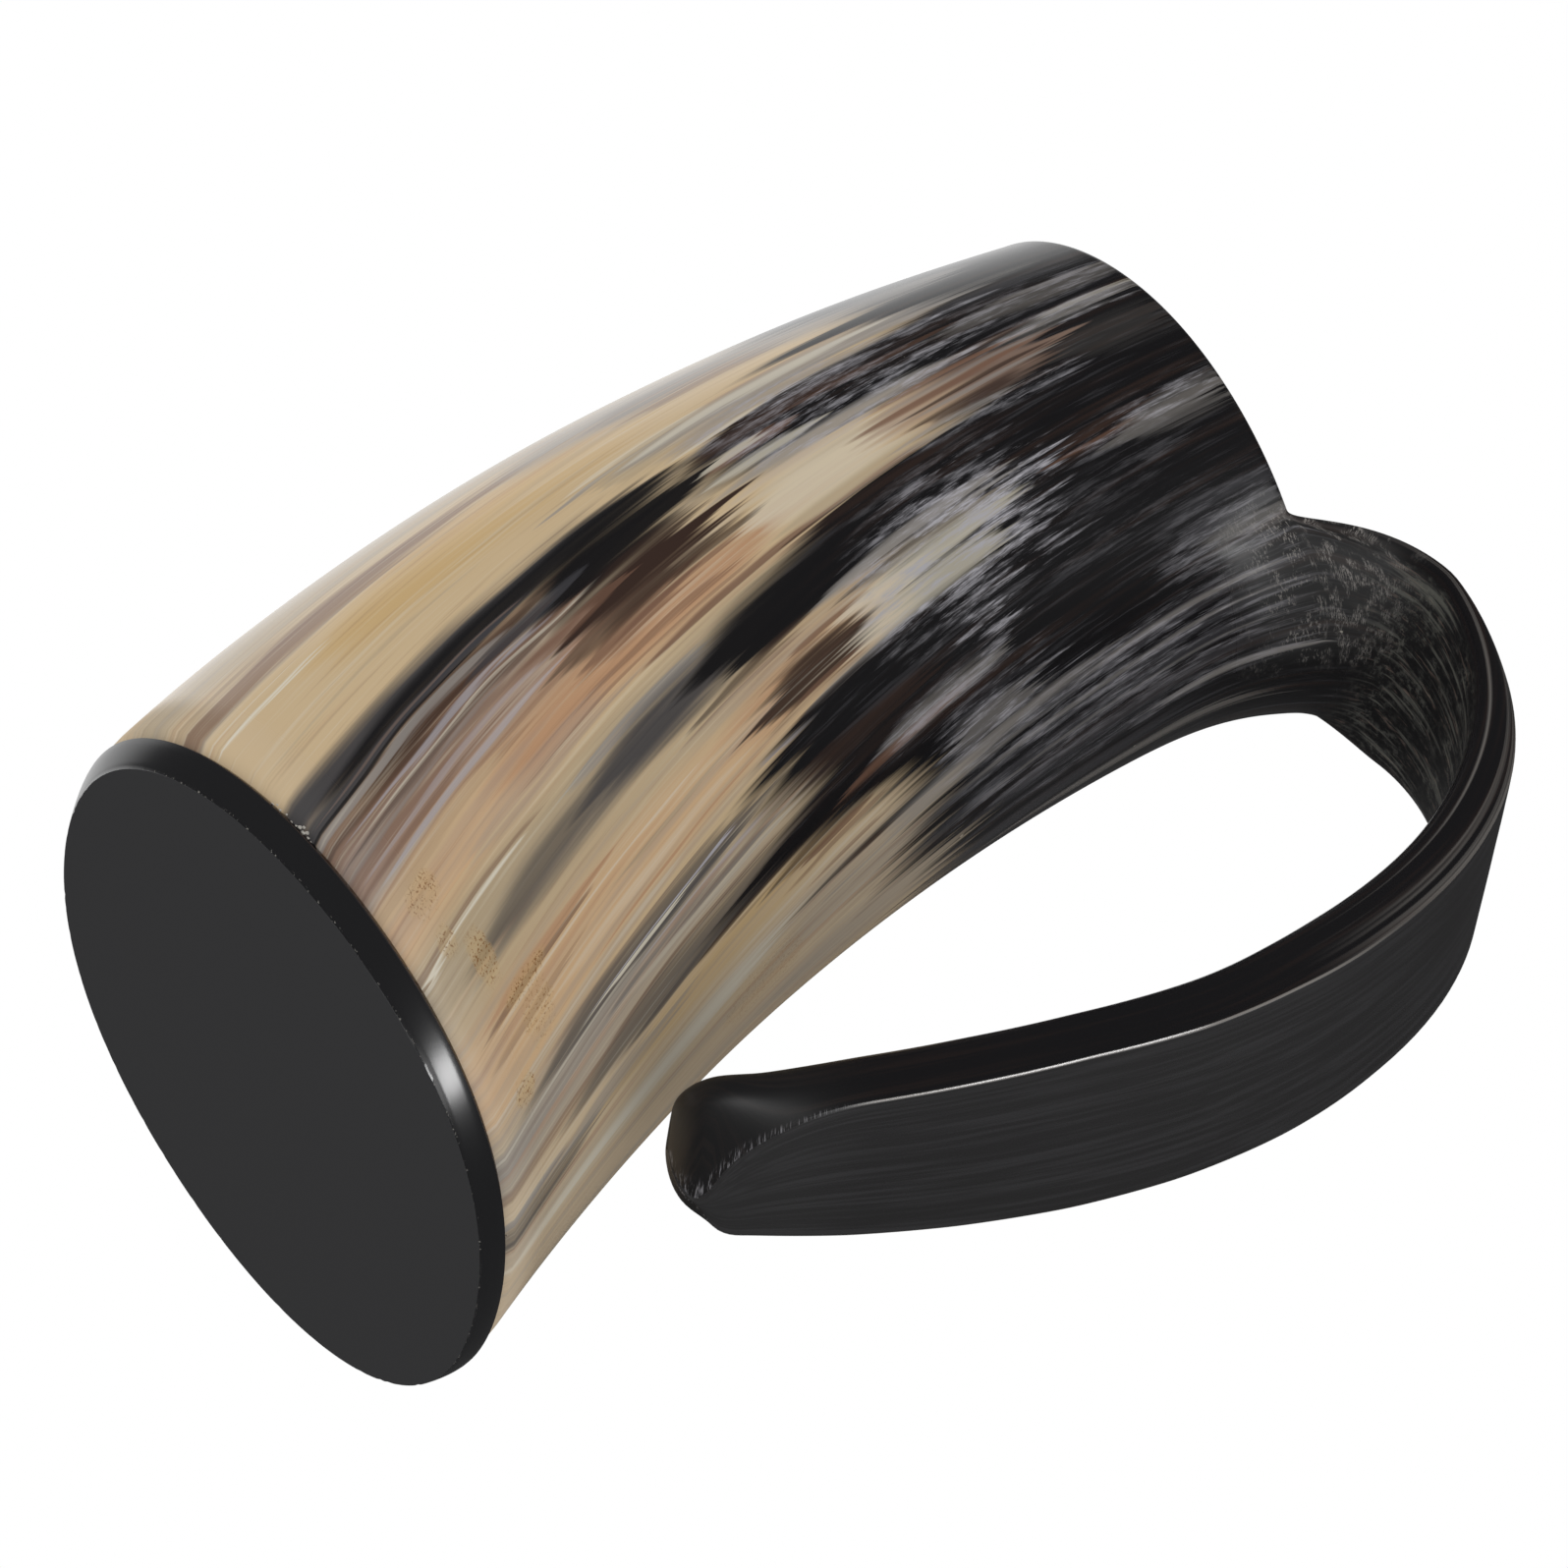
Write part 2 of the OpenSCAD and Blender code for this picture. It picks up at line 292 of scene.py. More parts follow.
def scraped(points, q):
    """The points, moved by the shallow waves that scraping by hand leaves."""
    out = np.stack([np.cos(q), np.sin(q), 0 * q], axis=-1)
    waves = [noise.noise(Vector((p[0] * 1.0, p[1] * 1.0, p[2] / 3)) / SCRAPE_WAVE) for p in points]
    return points + out * (np.array(waves)[:, None] - 0.5) * SCRAPE


def outer_row(cup, strip, q, s):
    return scraped(wall_points(cup, s, q, -root_swell(cup, strip, q, s)), q)


# Fibre angles: the fibres lean as they rise, more on the handle side
LEAN_BACK = 14
LEAN_FRONT = 20
LEAN_MIDDLE = -10
LEAN_POWER = 1.8
GROWN_RADIUS = 40


def fibre_angle(q, level):
    """Angle at the foot, in degrees, of the fibre that passes the angle q at a level."""
    degrees = (np.degrees(q) + 180) % 360 - 180
    toward = 0.5 + 0.5 * np.cos(np.radians(degrees - LEAN_MIDDLE))
    return degrees + level * (LEAN_BACK + LEAN_FRONT * toward ** LEAN_POWER)


# Edges that turn by more than this many degrees are shaded sharp
SHARP_ANGLE = 38


# Modelling steps on a ring of vertices in edit mode
MARKS = ("angle", "level", "depth", "turn", "along", "aside")


def clear_selection():
    if bpy.context.mode != "OBJECT":
        bpy.ops.object.mode_set(mode="OBJECT")
    bpy.ops.object.select_all(action="DESELECT")


def start_ring(name, count):
    """A new piece: one open ring of vertices, in edit mode, with a number on each."""
    clear_selection()
    bpy.ops.mesh.primitive_circle_add(vertices=count, radius=MM, fill_type="NOTHING")
    piece = bpy.context.active_object
    piece.name = piece.data.name = name
    bpy.ops.object.mode_set(mode="EDIT")
    mesh = bmesh.from_edit_mesh(piece.data)
    number = mesh.verts.layers.int.new("number")
    mesh.verts.layers.int.new("row")
    for mark in MARKS:
        mesh.verts.layers.float.new(mark)
    number = mesh.verts.layers.int["number"]
    mesh.verts.ensure_lookup_table()
    for i, v in enumerate(mesh.verts):
        v[number] = i
    return piece


def place_ring(piece, points, row=0, **marks):
    """Puts the selected vertices at their places, by their numbers, and writes their marks."""
    mesh = bmesh.from_edit_mesh(piece.data)
    number = mesh.verts.layers.int["number"]
    row_layer = mesh.verts.layers.int["row"]
    layers = {mesh.verts.layers.float[k]: np.broadcast_to(v, len(points)) for k, v in marks.items()}
    for v in mesh.verts:
        if v.select:
            i = v[number]
            v.co = points[i]
            v[row_layer] = row
            for layer, marked in layers.items():
                v[layer] = marked[i]


def pull_ring(piece, points, row=0, **marks):
    """Extrudes the selected ring to new places."""
    bpy.ops.mesh.extrude_region()
    place_ring(piece, points, row, **marks)


def select_where(piece, rule, kind="verts"):
    """Selects the vertices or faces of the edited piece that keep the rule."""
    bpy.ops.mesh.select_all(action="DESELECT")
    mesh = bmesh.from_edit_mesh(piece.data)
    for item in getattr(mesh, kind):
        if rule(mesh, item):
            item.select_set(True)
    mesh.select_flush_mode()


def close_mesh():
    """Merges doubles and turns all faces outwards."""
    bpy.ops.mesh.select_all(action="SELECT")
    bpy.ops.mesh.remove_doubles(threshold=1e-6)
    bpy.ops.mesh.normals_make_consistent(inside=False)
    bpy.ops.object.mode_set(mode="OBJECT")


def finish_piece(piece, material, node):
    """Dresses a finished piece with its material, attaches it to the root body and hides the CAD parts it replaces.
    """
    piece.data.materials.clear()
    piece.data.materials.append(material)
    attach(piece, "root")
    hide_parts(*([node] if isinstance(node, str) else node))


def subdivide(piece, levels):
    clear_selection()
    piece.select_set(True)
    bpy.context.view_layer.objects.active = piece
    step = piece.modifiers.new("Round", "SUBSURF")
    step.levels = step.render_levels = levels
    step.uv_smooth = "NONE"
    bpy.ops.object.modifier_apply(modifier=step.name)
    bpy.ops.object.shade_smooth_by_angle(angle=math.radians(SHARP_ANGLE))


# Worn edge between the strip's flat outer face and its sides: width to each side, and where it starts
WORN_EDGE = 0.00028
WORN_FROM = 22.0


def wear_creases(piece):
    """Takes the sharpness off the two edges of the strip's flat outer face."""
    bpy.ops.object.mode_set(mode="EDIT")
    bpy.ops.mesh.select_mode(type="EDGE")

    def on_crease(mesh, edge):
        place = mesh.verts.layers.float_vector["strip"]
        return all(abs(v[place].x - 1) < 1e-4 and v[place].y > WORN_FROM for v in edge.verts)

    select_where(piece, on_crease, "edges")
    bpy.ops.mesh.bevel(offset=WORN_EDGE, segments=2, profile=0.5, affect="EDGES", clamp_overlap=False)
    bpy.ops.mesh.select_mode(type="VERT")
    bpy.ops.object.mode_set(mode="OBJECT")
    bpy.ops.object.shade_smooth_by_angle(angle=math.radians(SHARP_ANGLE))


# The strip's path, in the upright plane through its middle
ROOT_PULL_FACE = 0.0024
ROOT_PULL_TOP = 0.0045
ROOT_PULL_LIPS = (0.0024, 0.0045)
ROOT_TURN_POWER = 14
CROWN_PULLS = (0.48, 0.66)
CROWN_SHARE = 0.36
REACH_LIFT = 0.79
REACH_DROP = 0.34
END_LIFT = 0.24
END_LEAN = 0.58
ROOT_TWIST = -8.0
TWISTS = (9.5, 9.5, 7.5, 7.0, 4.3, 3.4, 0.0)
# Rolled near edge inside the bend: its height, where across it starts, and how it comes and goes along the strip
ROLL = 0.0027
ROLL_FROM = 0.35
ROLL_RISE = 0.7
ROLL_FALL = 0.35
ROOT_RINGS = 16
CROWN_RINGS = 20
DROP_RINGS = 30
NOSE_RINGS = 10
# Sides of the strip: rounded towards the loop, crisp towards the outer face
INNER_SQUARE = 3.4
INNER_FACE = 0.93
OUTER_FACES = (0.82, 0.88, 0.93, 0.94)
OUTER_BOW = 0.09
SIDE_POWER = 2.2
# The nose: the flat outer face ends in a rounded outline and the rest rounds off
FACE_RUNS = (0.021, 0.0085)
FACE_STOP = 0.0040
TIP_RUNS = (0.0060, 0.0100)
TIP_WIDTHS = (0.46, 0.26)
TIP_RUN_INNER = 0.0045
TIP_OUTER = -0.42
TIP_INNER = 0.72
TIP_FACES = (-0.40, 0.48)
# Distance past the rim from which the edge of the outer face is crisp
CRISP_FROM = 0.012


def bezier(p, s):
    a, b, c, d = (np.asarray(k) for k in p)
    return (1 - s) ** 3 * a + 3 * (1 - s) ** 2 * s * b + 3 * (1 - s) * s * s * c + s ** 3 * d


def bezier_way(p, s):
    a, b, c, d = (np.asarray(k) for k in p)
    way = (1 - s) ** 2 * (b - a) + 2 * (1 - s) * s * (c - b) + s * s * (d - c)
    return way / np.linalg.norm(way)


def quarter(s):
    """Height of a quarter circle at share s of its run."""
    return math.sqrt(1 - (1 - min(max(s, 0), 1)) ** 2)


def curl(cup, width):
    """How far the middle of a strip this wide stands back from its sides, when cut from the round wall."""
    radius = mouth_radius(cup)
    return radius - math.sqrt(radius ** 2 - width ** 2 / 4)


def strip_profile(near, far):
    """For each strand round the strip: its share of the half width, of the thickness, and its turn.

    near and far are the half widths of the flat outer face, as shares of the strip's.
    """
    spread = np.sin(np.linspace(-STRIP_TURN, STRIP_TURN, SECTOR + 1)) / math.sin(STRIP_TURN)
    inner = INNER_FACE * spread
    inner_height = -(1 - np.abs(inner) ** INNER_SQUARE) ** (1 / INNER_SQUARE)
    half = LIP_ROWS // 2
    low = -math.acos(INNER_FACE ** (INNER_SQUARE / 2))
    around = np.linspace(low, 0, half + 1)[1:]
    rise = np.linspace(0, 1, LIP_ROWS - half + 1)[1:-1]
    low_side = np.cos(around) ** (2 / INNER_SQUARE)
    far_side, near_side = (
        np.concatenate([low_side, 1 - (1 - edge) * rise ** SIDE_POWER]) for edge in (far, near))
    crease = 1 - OUTER_BOW
    side_height = np.concatenate([-np.abs(np.sin(around)) ** (2 / INNER_SQUARE), rise * crease])
    outer = mix(-near, far, (spread[::-1] + 1) / 2)
    inner_turn = -2 + np.abs(spread)
    outer_turn = 2 - np.abs(spread[::-1])
    return (
        np.concatenate([inner, far_side, outer, -near_side[::-1]]),
        np.concatenate([inner_height, side_height, 1 - OUTER_BOW * spread ** 2, side_height[::-1]]),
        np.concatenate([inner_turn, side_height, outer_turn, side_height[::-1]]))


def strip_section(strip, at, way, width, outer, inner, curled, turned, faces, tip=(1, 1), roll=0):
    """One section across the strip, strand by strand, with each strand's turn and place aside.

    roll is how far the near side of the inner face stands inwards, as a rolled edge.
    """
    across, height, turn = strip_profile(*faces)
    out = np.array([-way[1], way[0]])
    v = np.where(across < 0, *width) / 2 * across if isinstance(width, tuple) else width / 2 * across
    above, below = outer * tip[0], inner * tip[1]
    h = (above - below) / 2 + (above + below) / 2 * height + curled * across ** 2
    h = h - roll * smooth((-across - ROLL_FROM) / (1 - ROLL_FROM)) * (1 - height) / 2
    c, s = math.cos(math.radians(turned)), math.sin(math.radians(turned))
    vt, ht = v * c - h * s, v * s + h * c
    points = np.stack([at[0] + out[0] * ht, -strip.aside + vt, at[1] + out[1] * ht], axis=-1)
    return points, turn, v


def strip_paths(cup, strip):
    """The four control points of each of the strip's two free curves."""
    face = wall_points(cup, 1, np.array([0.0]))[0]
    crown = (face[0] + strip.crown_run, cup.rim_height + strip.crown_rise)
    end_share = strip.end_height / cup.rim_height
    end_x = wall_points(cup, end_share, np.array([0.0]))[0][0] + strip.end_gap + strip.thick_end / 2
    over = (
        crown,
        (mix(crown[0], strip.reach, CROWN_SHARE), crown[1]),
        (strip.reach, mix(strip.reach_height, crown[1], REACH_LIFT)),
        (strip.reach, strip.reach_height))
    drop = (
        (strip.reach, strip.reach_height),
        (strip.reach, mix(strip.reach_height, strip.end_height, REACH_DROP)),
        (mix(strip.reach, end_x, END_LEAN), mix(strip.end_height, strip.reach_height, END_LIFT)),
        (end_x, strip.end_height))
    return over, drop


def root_ways(cup, strip):
    """The way in which each strand leaves the rim, and how far it keeps to it."""
    q = strip_middle(cup, strip) + np.linspace(-STRIP_TURN, STRIP_TURN, SECTOR + 1)
    top, step = lip_share(cup), 0.002
    ways, pulls = np.zeros((STRANDS, 3)), np.zeros(STRANDS)
    across = np.abs(np.linspace(-1, 1, SECTOR + 1)) ** ROOT_TURN_POWER
    toward_near = np.linspace(-1, 1, SECTOR + 1) < 0
    toward = np.sign(np.linspace(1, -1, SECTOR + 1))[:, None] * np.stack([-np.sin(q), np.cos(q), 0 * q], axis=-1)
    for first, up, pull in (
            (0, outer_row(cup, strip, q, top) - outer_row(cup, strip, q, top - step), ROOT_PULL_FACE),
            (SECTOR + LIP_ROWS, np.stack([0 * q, 0 * q, 1 + 0 * q], axis=-1), ROOT_PULL_TOP)):
        up = up / np.linalg.norm(up, axis=-1)[:, None]
        way = up * (1 - across)[:, None] + toward * across[:, None]
        way = way / np.linalg.norm(way, axis=-1)[:, None]
        length_kept = mix(pull, np.where(toward_near, *ROOT_PULL_LIPS), across)
        if first:
            way, length_kept = way[::-1], length_kept[::-1]
        ways[first:first + SECTOR + 1] = way
        pulls[first:first + SECTOR + 1] = length_kept
    for first, edge, pull in ((SECTOR + 1, SECTOR, ROOT_PULL_LIPS[1]), (2 * SECTOR + LIP_ROWS + 1, 0, ROOT_PULL_LIPS[0])):
        ways[first:first + LIP_ROWS - 1] = toward[edge]
        pulls[first:first + LIP_ROWS - 1] = pull
    return ways, pulls


def strip_rings(cup, strip, rim_loop):
    """All rings of the strip after the rim: points, turn, distance along and place aside."""
    over, drop = strip_paths(cup, strip)
    ways, pulls = root_ways(cup, strip)
    half = strip.thick_crown / 2
    crown_curl = curl(cup, strip.width_crown) / 2
    crown, turn, aside = strip_section(
        strip, over[0], bezier_way(over, 0), crown_widths(strip, 0), half, half, crown_curl, ROOT_TWIST,
        (OUTER_FACES[0],) * 2)
    way = bezier_way(over, 0)
    run = (crown - rim_loop)[:, 0]
    pull = np.full(STRANDS, CROWN_PULLS[1])
    pull[:SECTOR + 1] = mix(*CROWN_PULLS, np.abs(np.linspace(-1, 1, SECTOR + 1)) ** 3)
    back = crown - (pull * run)[:, None] * np.array([way[0], 0, way[1]])
    curves = (rim_loop, rim_loop + ways * pulls[:, None], back, crown)
    rings, walked, before = [], 0.0, rim_loop
    for j in range(1, ROOT_RINGS + 1):
        points = bezier(curves, (j / ROOT_RINGS) ** 1.25)
        walked, before = walked + np.linalg.norm(points - before, axis=-1).mean(), points
        rings.append((points, turn, walked, aside))
    before = np.array(over[0])
    for j in range(1, CROWN_RINGS + 1):
        s = j / CROWN_RINGS
        half = mix(strip.thick_crown, strip.thick_reach, s) / 2
        at = bezier(over, s)
        walked, before = walked + np.linalg.norm(at - before), at
        points, turn, aside = strip_section(
            strip, at, bezier_way(over, s), crown_widths(strip, s), half, half,
            crown_curl * (1 - s) ** 2, mix(ROOT_TWIST, TWISTS[0], s), (mix(*OUTER_FACES[:2], s),) * 2,
            roll=ROLL * smooth(s / ROLL_RISE))
        rings.append((points, turn, walked, aside))
    steps = [bezier(drop, j / DROP_RINGS) for j in range(DROP_RINGS + 1)]
    left = sum(np.linalg.norm(b - a) for a, b in zip(steps, steps[1:])) + strip.nose
    for j in range(1, DROP_RINGS + 1):
        s = j / DROP_RINGS
        half = between((strip.thick_reach, strip.thick_turn, strip.thick_low, strip.thick_end), s) / 2
        step = np.linalg.norm(steps[j] - steps[j - 1])
        walked, left = walked + step, left - step
        points, turn, aside = strip_section(
            strip, steps[j], bezier_way(drop, s),
            tip_widths(between((strip.width_reach, strip.width_turn, strip.width_low, strip.width_end), s), left),
            half, half, 0, between(TWISTS, s), face_shares(between(OUTER_FACES[1:], s), left),
            roll=ROLL * (1 - smooth(s / ROLL_FALL)))
        rings.append((points, turn, walked, aside))
    end, way, half = np.array(drop[3]), bezier_way(drop, 1), strip.thick_end / 2
    for j in range(1, NOSE_RINGS + 1):
        run = strip.nose * math.sin(math.pi / 2 * j / NOSE_RINGS)
        left = strip.nose - run
        points, turn, aside = strip_section(
            strip, end + way * run, way, tip_widths(strip.width_end, left), half, half,
            0, TWISTS[-1], face_shares(OUTER_FACES[3], left),
            (mix(TIP_OUTER, 1, quarter(left / FACE_STOP)), mix(TIP_INNER, 1, quarter(left / TIP_RUN_INNER))))
        rings.append((points, turn, walked + run, aside))
    return rings


def crown_widths(strip, s):
    """Widths of the near and the far half at share s of the way from the crown to the reach."""
    near = mix(strip.width_crown, strip.width_reach, s)
    return near, near + strip.crown_far * (1 - s)


def tip_widths(width, left):
    """Widths of the near and the far half at a distance from the tip."""
    return tuple(width * mix(low, 1, quarter(left / run)) for low, run in zip(TIP_WIDTHS, TIP_RUNS))


def face_shares(full, left):
    """Half widths of the flat outer face at a distance from the tip, as shares of the strip's: near and far."""
    return tuple(
        mix(least, full, quarter((left - FACE_STOP) / (run - FACE_STOP))) for least, run in zip(TIP_FACES, FACE_RUNS))


def strand_number(row, column):
    """Number round the strip of a vertex on the edge of the open sector, or nothing."""
    place = (column + HALF_SECTOR) % COLUMNS
    if place > SECTOR:
        return None
    if row == WALL_ROWS:
        return place
    if row == WALL_ROWS + LIP_ROWS:
        return SECTOR + LIP_ROWS + SECTOR - place
    if WALL_ROWS < row < WALL_ROWS + LIP_ROWS:
        if place == SECTOR:
            return SECTOR + row - WALL_ROWS
        if place == 0:
            return 2 * SECTOR + LIP_ROWS + WALL_ROWS + LIP_ROWS - row
    return None


def raise_wall(piece, cup, strip):
    """The wall: a ring at the foot is pulled up outside, over the lip and down inside."""
    q = column_angles(cup, strip)
    foot = cup.foot / cup.rim_height
    top = lip_share(cup)
    half_lip = cup.wall_mouth / 2
    row = 0
    for j in range(WALL_ROWS + 1):
        s = mix(foot, top, (j / WALL_ROWS) ** 0.92)
        step = place_ring if j == 0 else pull_ring
        step(piece, outer_row(cup, strip, q, s), row, angle=fibre_angle(q, s), level=s, depth=0)
        row += 1
    swell_top = root_swell(cup, strip, q, top)
    for j in range(1, LIP_ROWS + 1):
        t = math.pi * j / LIP_ROWS
        s = mix(top, 1, math.sin(t))
        inset = half_lip * (1 - math.cos(t)) - swell_top * (1 - j / LIP_ROWS)
        pull_ring(piece, wall_points(cup, s, q, inset), row, angle=fibre_angle(q, s), level=s, depth=inset)
        row += 1
    for j in range(1, INNER_ROWS + 1):
        s = mix(top, foot, j / INNER_ROWS)
        inset = mix(cup.wall_mouth, cup.wall_base, j / INNER_ROWS)
        pull_ring(piece, wall_points(cup, s, q, inset), row, angle=fibre_angle(q, s), level=s, depth=inset)
        row += 1
    last = row - 1
    select_where(piece, lambda mesh, v: v[mesh.verts.layers.int["row"]] in (0, last))
    bpy.ops.mesh.bridge_edge_loops()


def open_sector(piece):
    """Takes the lip away where the strip grows out of it, and numbers the open edge."""

    def in_sector(mesh, face):
        rows, numbers = mesh.verts.layers.int["row"], mesh.verts.layers.int["number"]
        return all(
            WALL_ROWS <= v[rows] <= WALL_ROWS + LIP_ROWS and (v[numbers] + HALF_SECTOR) % COLUMNS <= SECTOR
            for v in face.verts)

    bpy.ops.mesh.select_mode(type="FACE")
    select_where(piece, in_sector, "faces")
    bpy.ops.mesh.delete(type="FACE")
    bpy.ops.mesh.select_mode(type="VERT")
    bpy.ops.mesh.select_non_manifold()
    mesh = bmesh.from_edit_mesh(piece.data)
    rows, numbers = mesh.verts.layers.int["row"], mesh.verts.layers.int["number"]
    loop = np.zeros((STRANDS, 3))
    angles = np.zeros(STRANDS)
    for v in mesh.verts:
        if v.select:
            strand = strand_number(v[rows], v[numbers])
            v[numbers] = strand
            loop[strand] = v.co
            angles[strand] = v[mesh.verts.layers.float["angle"]]
    return loop, angles


def pull_strip(piece, cup, strip, loop, angles):
    """Pulls the open edge along the strip's path and closes its end."""
    rings = strip_rings(cup, strip, loop)
    for points, turn, walked, aside in rings:
        pull_ring(
            piece, points, -1, angle=angles, level=1 + walked / cup.rim_height, depth=strand_depth(points),
            turn=turn, along=walked, aside=aside)
    close_end(piece, rings[-1][0])
    crisp = (SECTOR + LIP_ROWS, 2 * SECTOR + LIP_ROWS)

    def on_crisp_edge(mesh, edge):
        rows, numbers = mesh.verts.layers.int["row"], mesh.verts.layers.int["number"]
        along = mesh.verts.layers.float["along"]
        one, other = edge.verts
        return (
            one[rows] == other[rows] == -1 and one[numbers] == other[numbers] in crisp
            and min(one[along], other[along]) > CRISP_FROM)

    bpy.ops.mesh.select_mode(type="EDGE")
    select_where(piece, on_crisp_edge, "edges")
    bpy.ops.transform.edge_crease(value=1)
    bpy.ops.mesh.select_mode(type="VERT")


def strand_depth(points):
    """Depth of each strand below the strip's inner face."""
    inner = points[:SECTOR + 1]
    outer = points[SECTOR + LIP_ROWS:2 * SECTOR + LIP_ROWS + 1][::-1]
    thick = np.linalg.norm(outer - inner, axis=-1)
    side = np.linspace(0, 1, LIP_ROWS + 1)[1:-1]
    return np.concatenate([0 * thick, side * thick[-1], thick[::-1], side[::-1] * thick[0]])


def close_end(piece, points):
    """Fills the last ring with a grid of faces."""
    mesh = bmesh.from_edit_mesh(piece.data)
    number = mesh.verts.layers.int["number"]
    ring = {v[number]: v for v in mesh.verts if v.select}
    inner = [ring[k] for k in range(SECTOR + 1)]
    outer = [ring[2 * SECTOR + LIP_ROWS - k] for k in range(SECTOR + 1)]
    near = [inner[0]] + [ring[STRANDS - k] for k in range(1, LIP_ROWS)] + [outer[0]]
    far = [inner[-1]] + [ring[SECTOR + k] for k in range(1, LIP_ROWS)] + [outer[-1]]
    rows = [near]
    for i in range(1, SECTOR):
        row = [inner[i]]
        for k in range(1, LIP_ROWS):
            v = mesh.verts.new(inner[i].co.lerp(outer[i].co, k / LIP_ROWS), inner[i])
            row.append(v)
        rows.append(row + [outer[i]])
    rows.append(far)
    for a, b in zip(rows, rows[1:]):
        for k in range(LIP_ROWS):
            mesh.faces.new((a[k], a[k + 1], b[k + 1], b[k]))


def write_maps(piece):
    """Turns the marks on the vertices into a UV map along the fibres and two vector attributes."""
    data = piece.data
    count = len(data.vertices)
    marks = {}
    for mark in MARKS:
        held = np.zeros(count)
        data.attributes[mark].data.foreach_get("value", held)
        marks[mark] = held
    turn = np.radians(marks["angle"])
    radius = GROWN_RADIUS - marks["depth"] / MM
    fibre = np.stack([
        radius * np.cos(turn), radius * np.sin(turn),
        marks["level"] * (CUP_BOX[1].z / MM)], axis=-1)
    place = np.stack([marks["turn"], marks["along"] / MM, marks["aside"] / MM], axis=-1)
    for name, vectors in (("fibre", fibre), ("strip", place)):
        made = data.attributes.new(name, "FLOAT_VECTOR", "POINT")
        made.data.foreach_set("vector", vectors.astype(np.float32).ravel())
    made = data.attributes.new("depth_mm", "FLOAT", "POINT")
    made.data.foreach_set("value", (marks["depth"] / MM).astype(np.float32))
    uv = data.uv_layers.new(name="fibre_map") if not data.uv_layers else data.uv_layers[0]
    uv.name = "fibre_map"
    for face in data.polygons:
        angles = [marks["angle"][data.loops[i].vertex_index] for i in face.loop_indices]
        wrap = max(angles) - min(angles) > 180
        for i, value in zip(face.loop_indices, angles):
            value = value + 360 if wrap and value < max(angles) - 180 else value
            uv.data[i].uv = (value / 360, marks["level"][data.loops[i].vertex_index])
    drop_marks(piece)


# Helpers that add shader nodes
def fed(tree, socket, value):
    if isinstance(value, bpy.types.NodeSocket):
        tree.links.new(value, socket)
    elif value is not None:
        socket.default_value = value


class Shader:
    """Adds nodes to one tree and joins them."""

    def __init__(self, tree):
        self.tree = tree

    def add(self, kind, feeds=(), **settings):
        node = self.tree.nodes.new(kind)
        for key, value in settings.items():
            setattr(node, key, value)
        for key, value in dict(feeds).items():
            fed(self.tree, node.inputs[key], value)
        return node

    def math(self, operation, *values):
        node = self.add("ShaderNodeMath", operation=operation)
        for socket, value in zip(node.inputs, values):
            fed(self.tree, socket, value)
        return node.outputs[0]

    def ramp(self, value, low, high, from_low=0.0, from_high=1.0):
        """A smooth step from low to high."""
        node = self.add("ShaderNodeMapRange", interpolation_type="SMOOTHSTEP", clamp=False)
        for key, v in (("Value", value), ("From Min", from_low), ("From Max", from_high), ("To Min", low),
                       ("To Max", high)):
            fed(self.tree, node.inputs[key], v)
        return node.outputs[0]

    def blend(self, amount, a, b, kind="MIX"):
        node = self.add("ShaderNodeMix", data_type="RGBA", blend_type=kind)
        fed(self.tree, node.inputs[0], amount)
        for socket, value in ((node.inputs[6], a), (node.inputs[7], b)):
            value = (*value, 1) if isinstance(value, tuple) and len(value) == 3 else value
            fed(self.tree, socket, value)
        return node.outputs[2]

    def group(self, tree, feeds=()):
        node = self.add("ShaderNodeGroup", node_tree=tree)
        for key, value in dict(feeds).items():
            fed(self.tree, node.inputs[key], value)
        return node.outputs


def new_group(name, inputs, outputs):
    """An empty node group with named sockets."""
    tree = bpy.data.node_groups.new(name, "ShaderNodeTree")
    kinds = {"value": "NodeSocketFloat", "vector": "NodeSocketVector", "colour": "NodeSocketColor"}
    for key, kind, default in inputs:
        socket = tree.interface.new_socket(name=key, in_out="INPUT", socket_type=kinds[kind])
        if default is not None:
            socket.default_value = default
    for key, kind in outputs:
        tree.interface.new_socket(name=key, in_out="OUTPUT", socket_type=kinds[kind])
    return tree, Shader(tree), tree.nodes.new("NodeGroupInput").outputs, tree.nodes.new("NodeGroupOutput").inputs


def fibre_noise_group():
    """Noise drawn out along the fibres."""
    tree, s, given, out = new_group(
        "Fibre noise",
        (("Fibre", "vector", None), ("Across", "value", 1.0), ("Along", "value", 20.0), ("Offset", "value", 0.0),
         ("Detail", "value", 2.0), ("Roughness", "value", 0.5)),
        (("Value", "value"),))
    across = s.math("DIVIDE", 1.0, given["Across"])
    along = s.math("DIVIDE", 1.0, given["Along"])
    scale = s.add("ShaderNodeCombineXYZ", {"X": across, "Y": across, "Z": along}).outputs[0]
    moved = s.add("ShaderNodeVectorMath", operation="MULTIPLY")
    s.tree.links.new(given["Fibre"], moved.inputs[0])
    s.tree.links.new(scale, moved.inputs[1])
    shifted = s.add("ShaderNodeVectorMath", operation="ADD")
    s.tree.links.new(moved.outputs[0], shifted.inputs[0])
    s.tree.links.new(given["Offset"], shifted.inputs[1])
    grain = s.add("ShaderNodeTexNoise", {
        "Vector": shifted.outputs[0], "Scale": 1.0, "Detail": given["Detail"], "Roughness": given["Roughness"]})
    s.tree.links.new(grain.outputs["Fac"], out["Value"])
    return tree


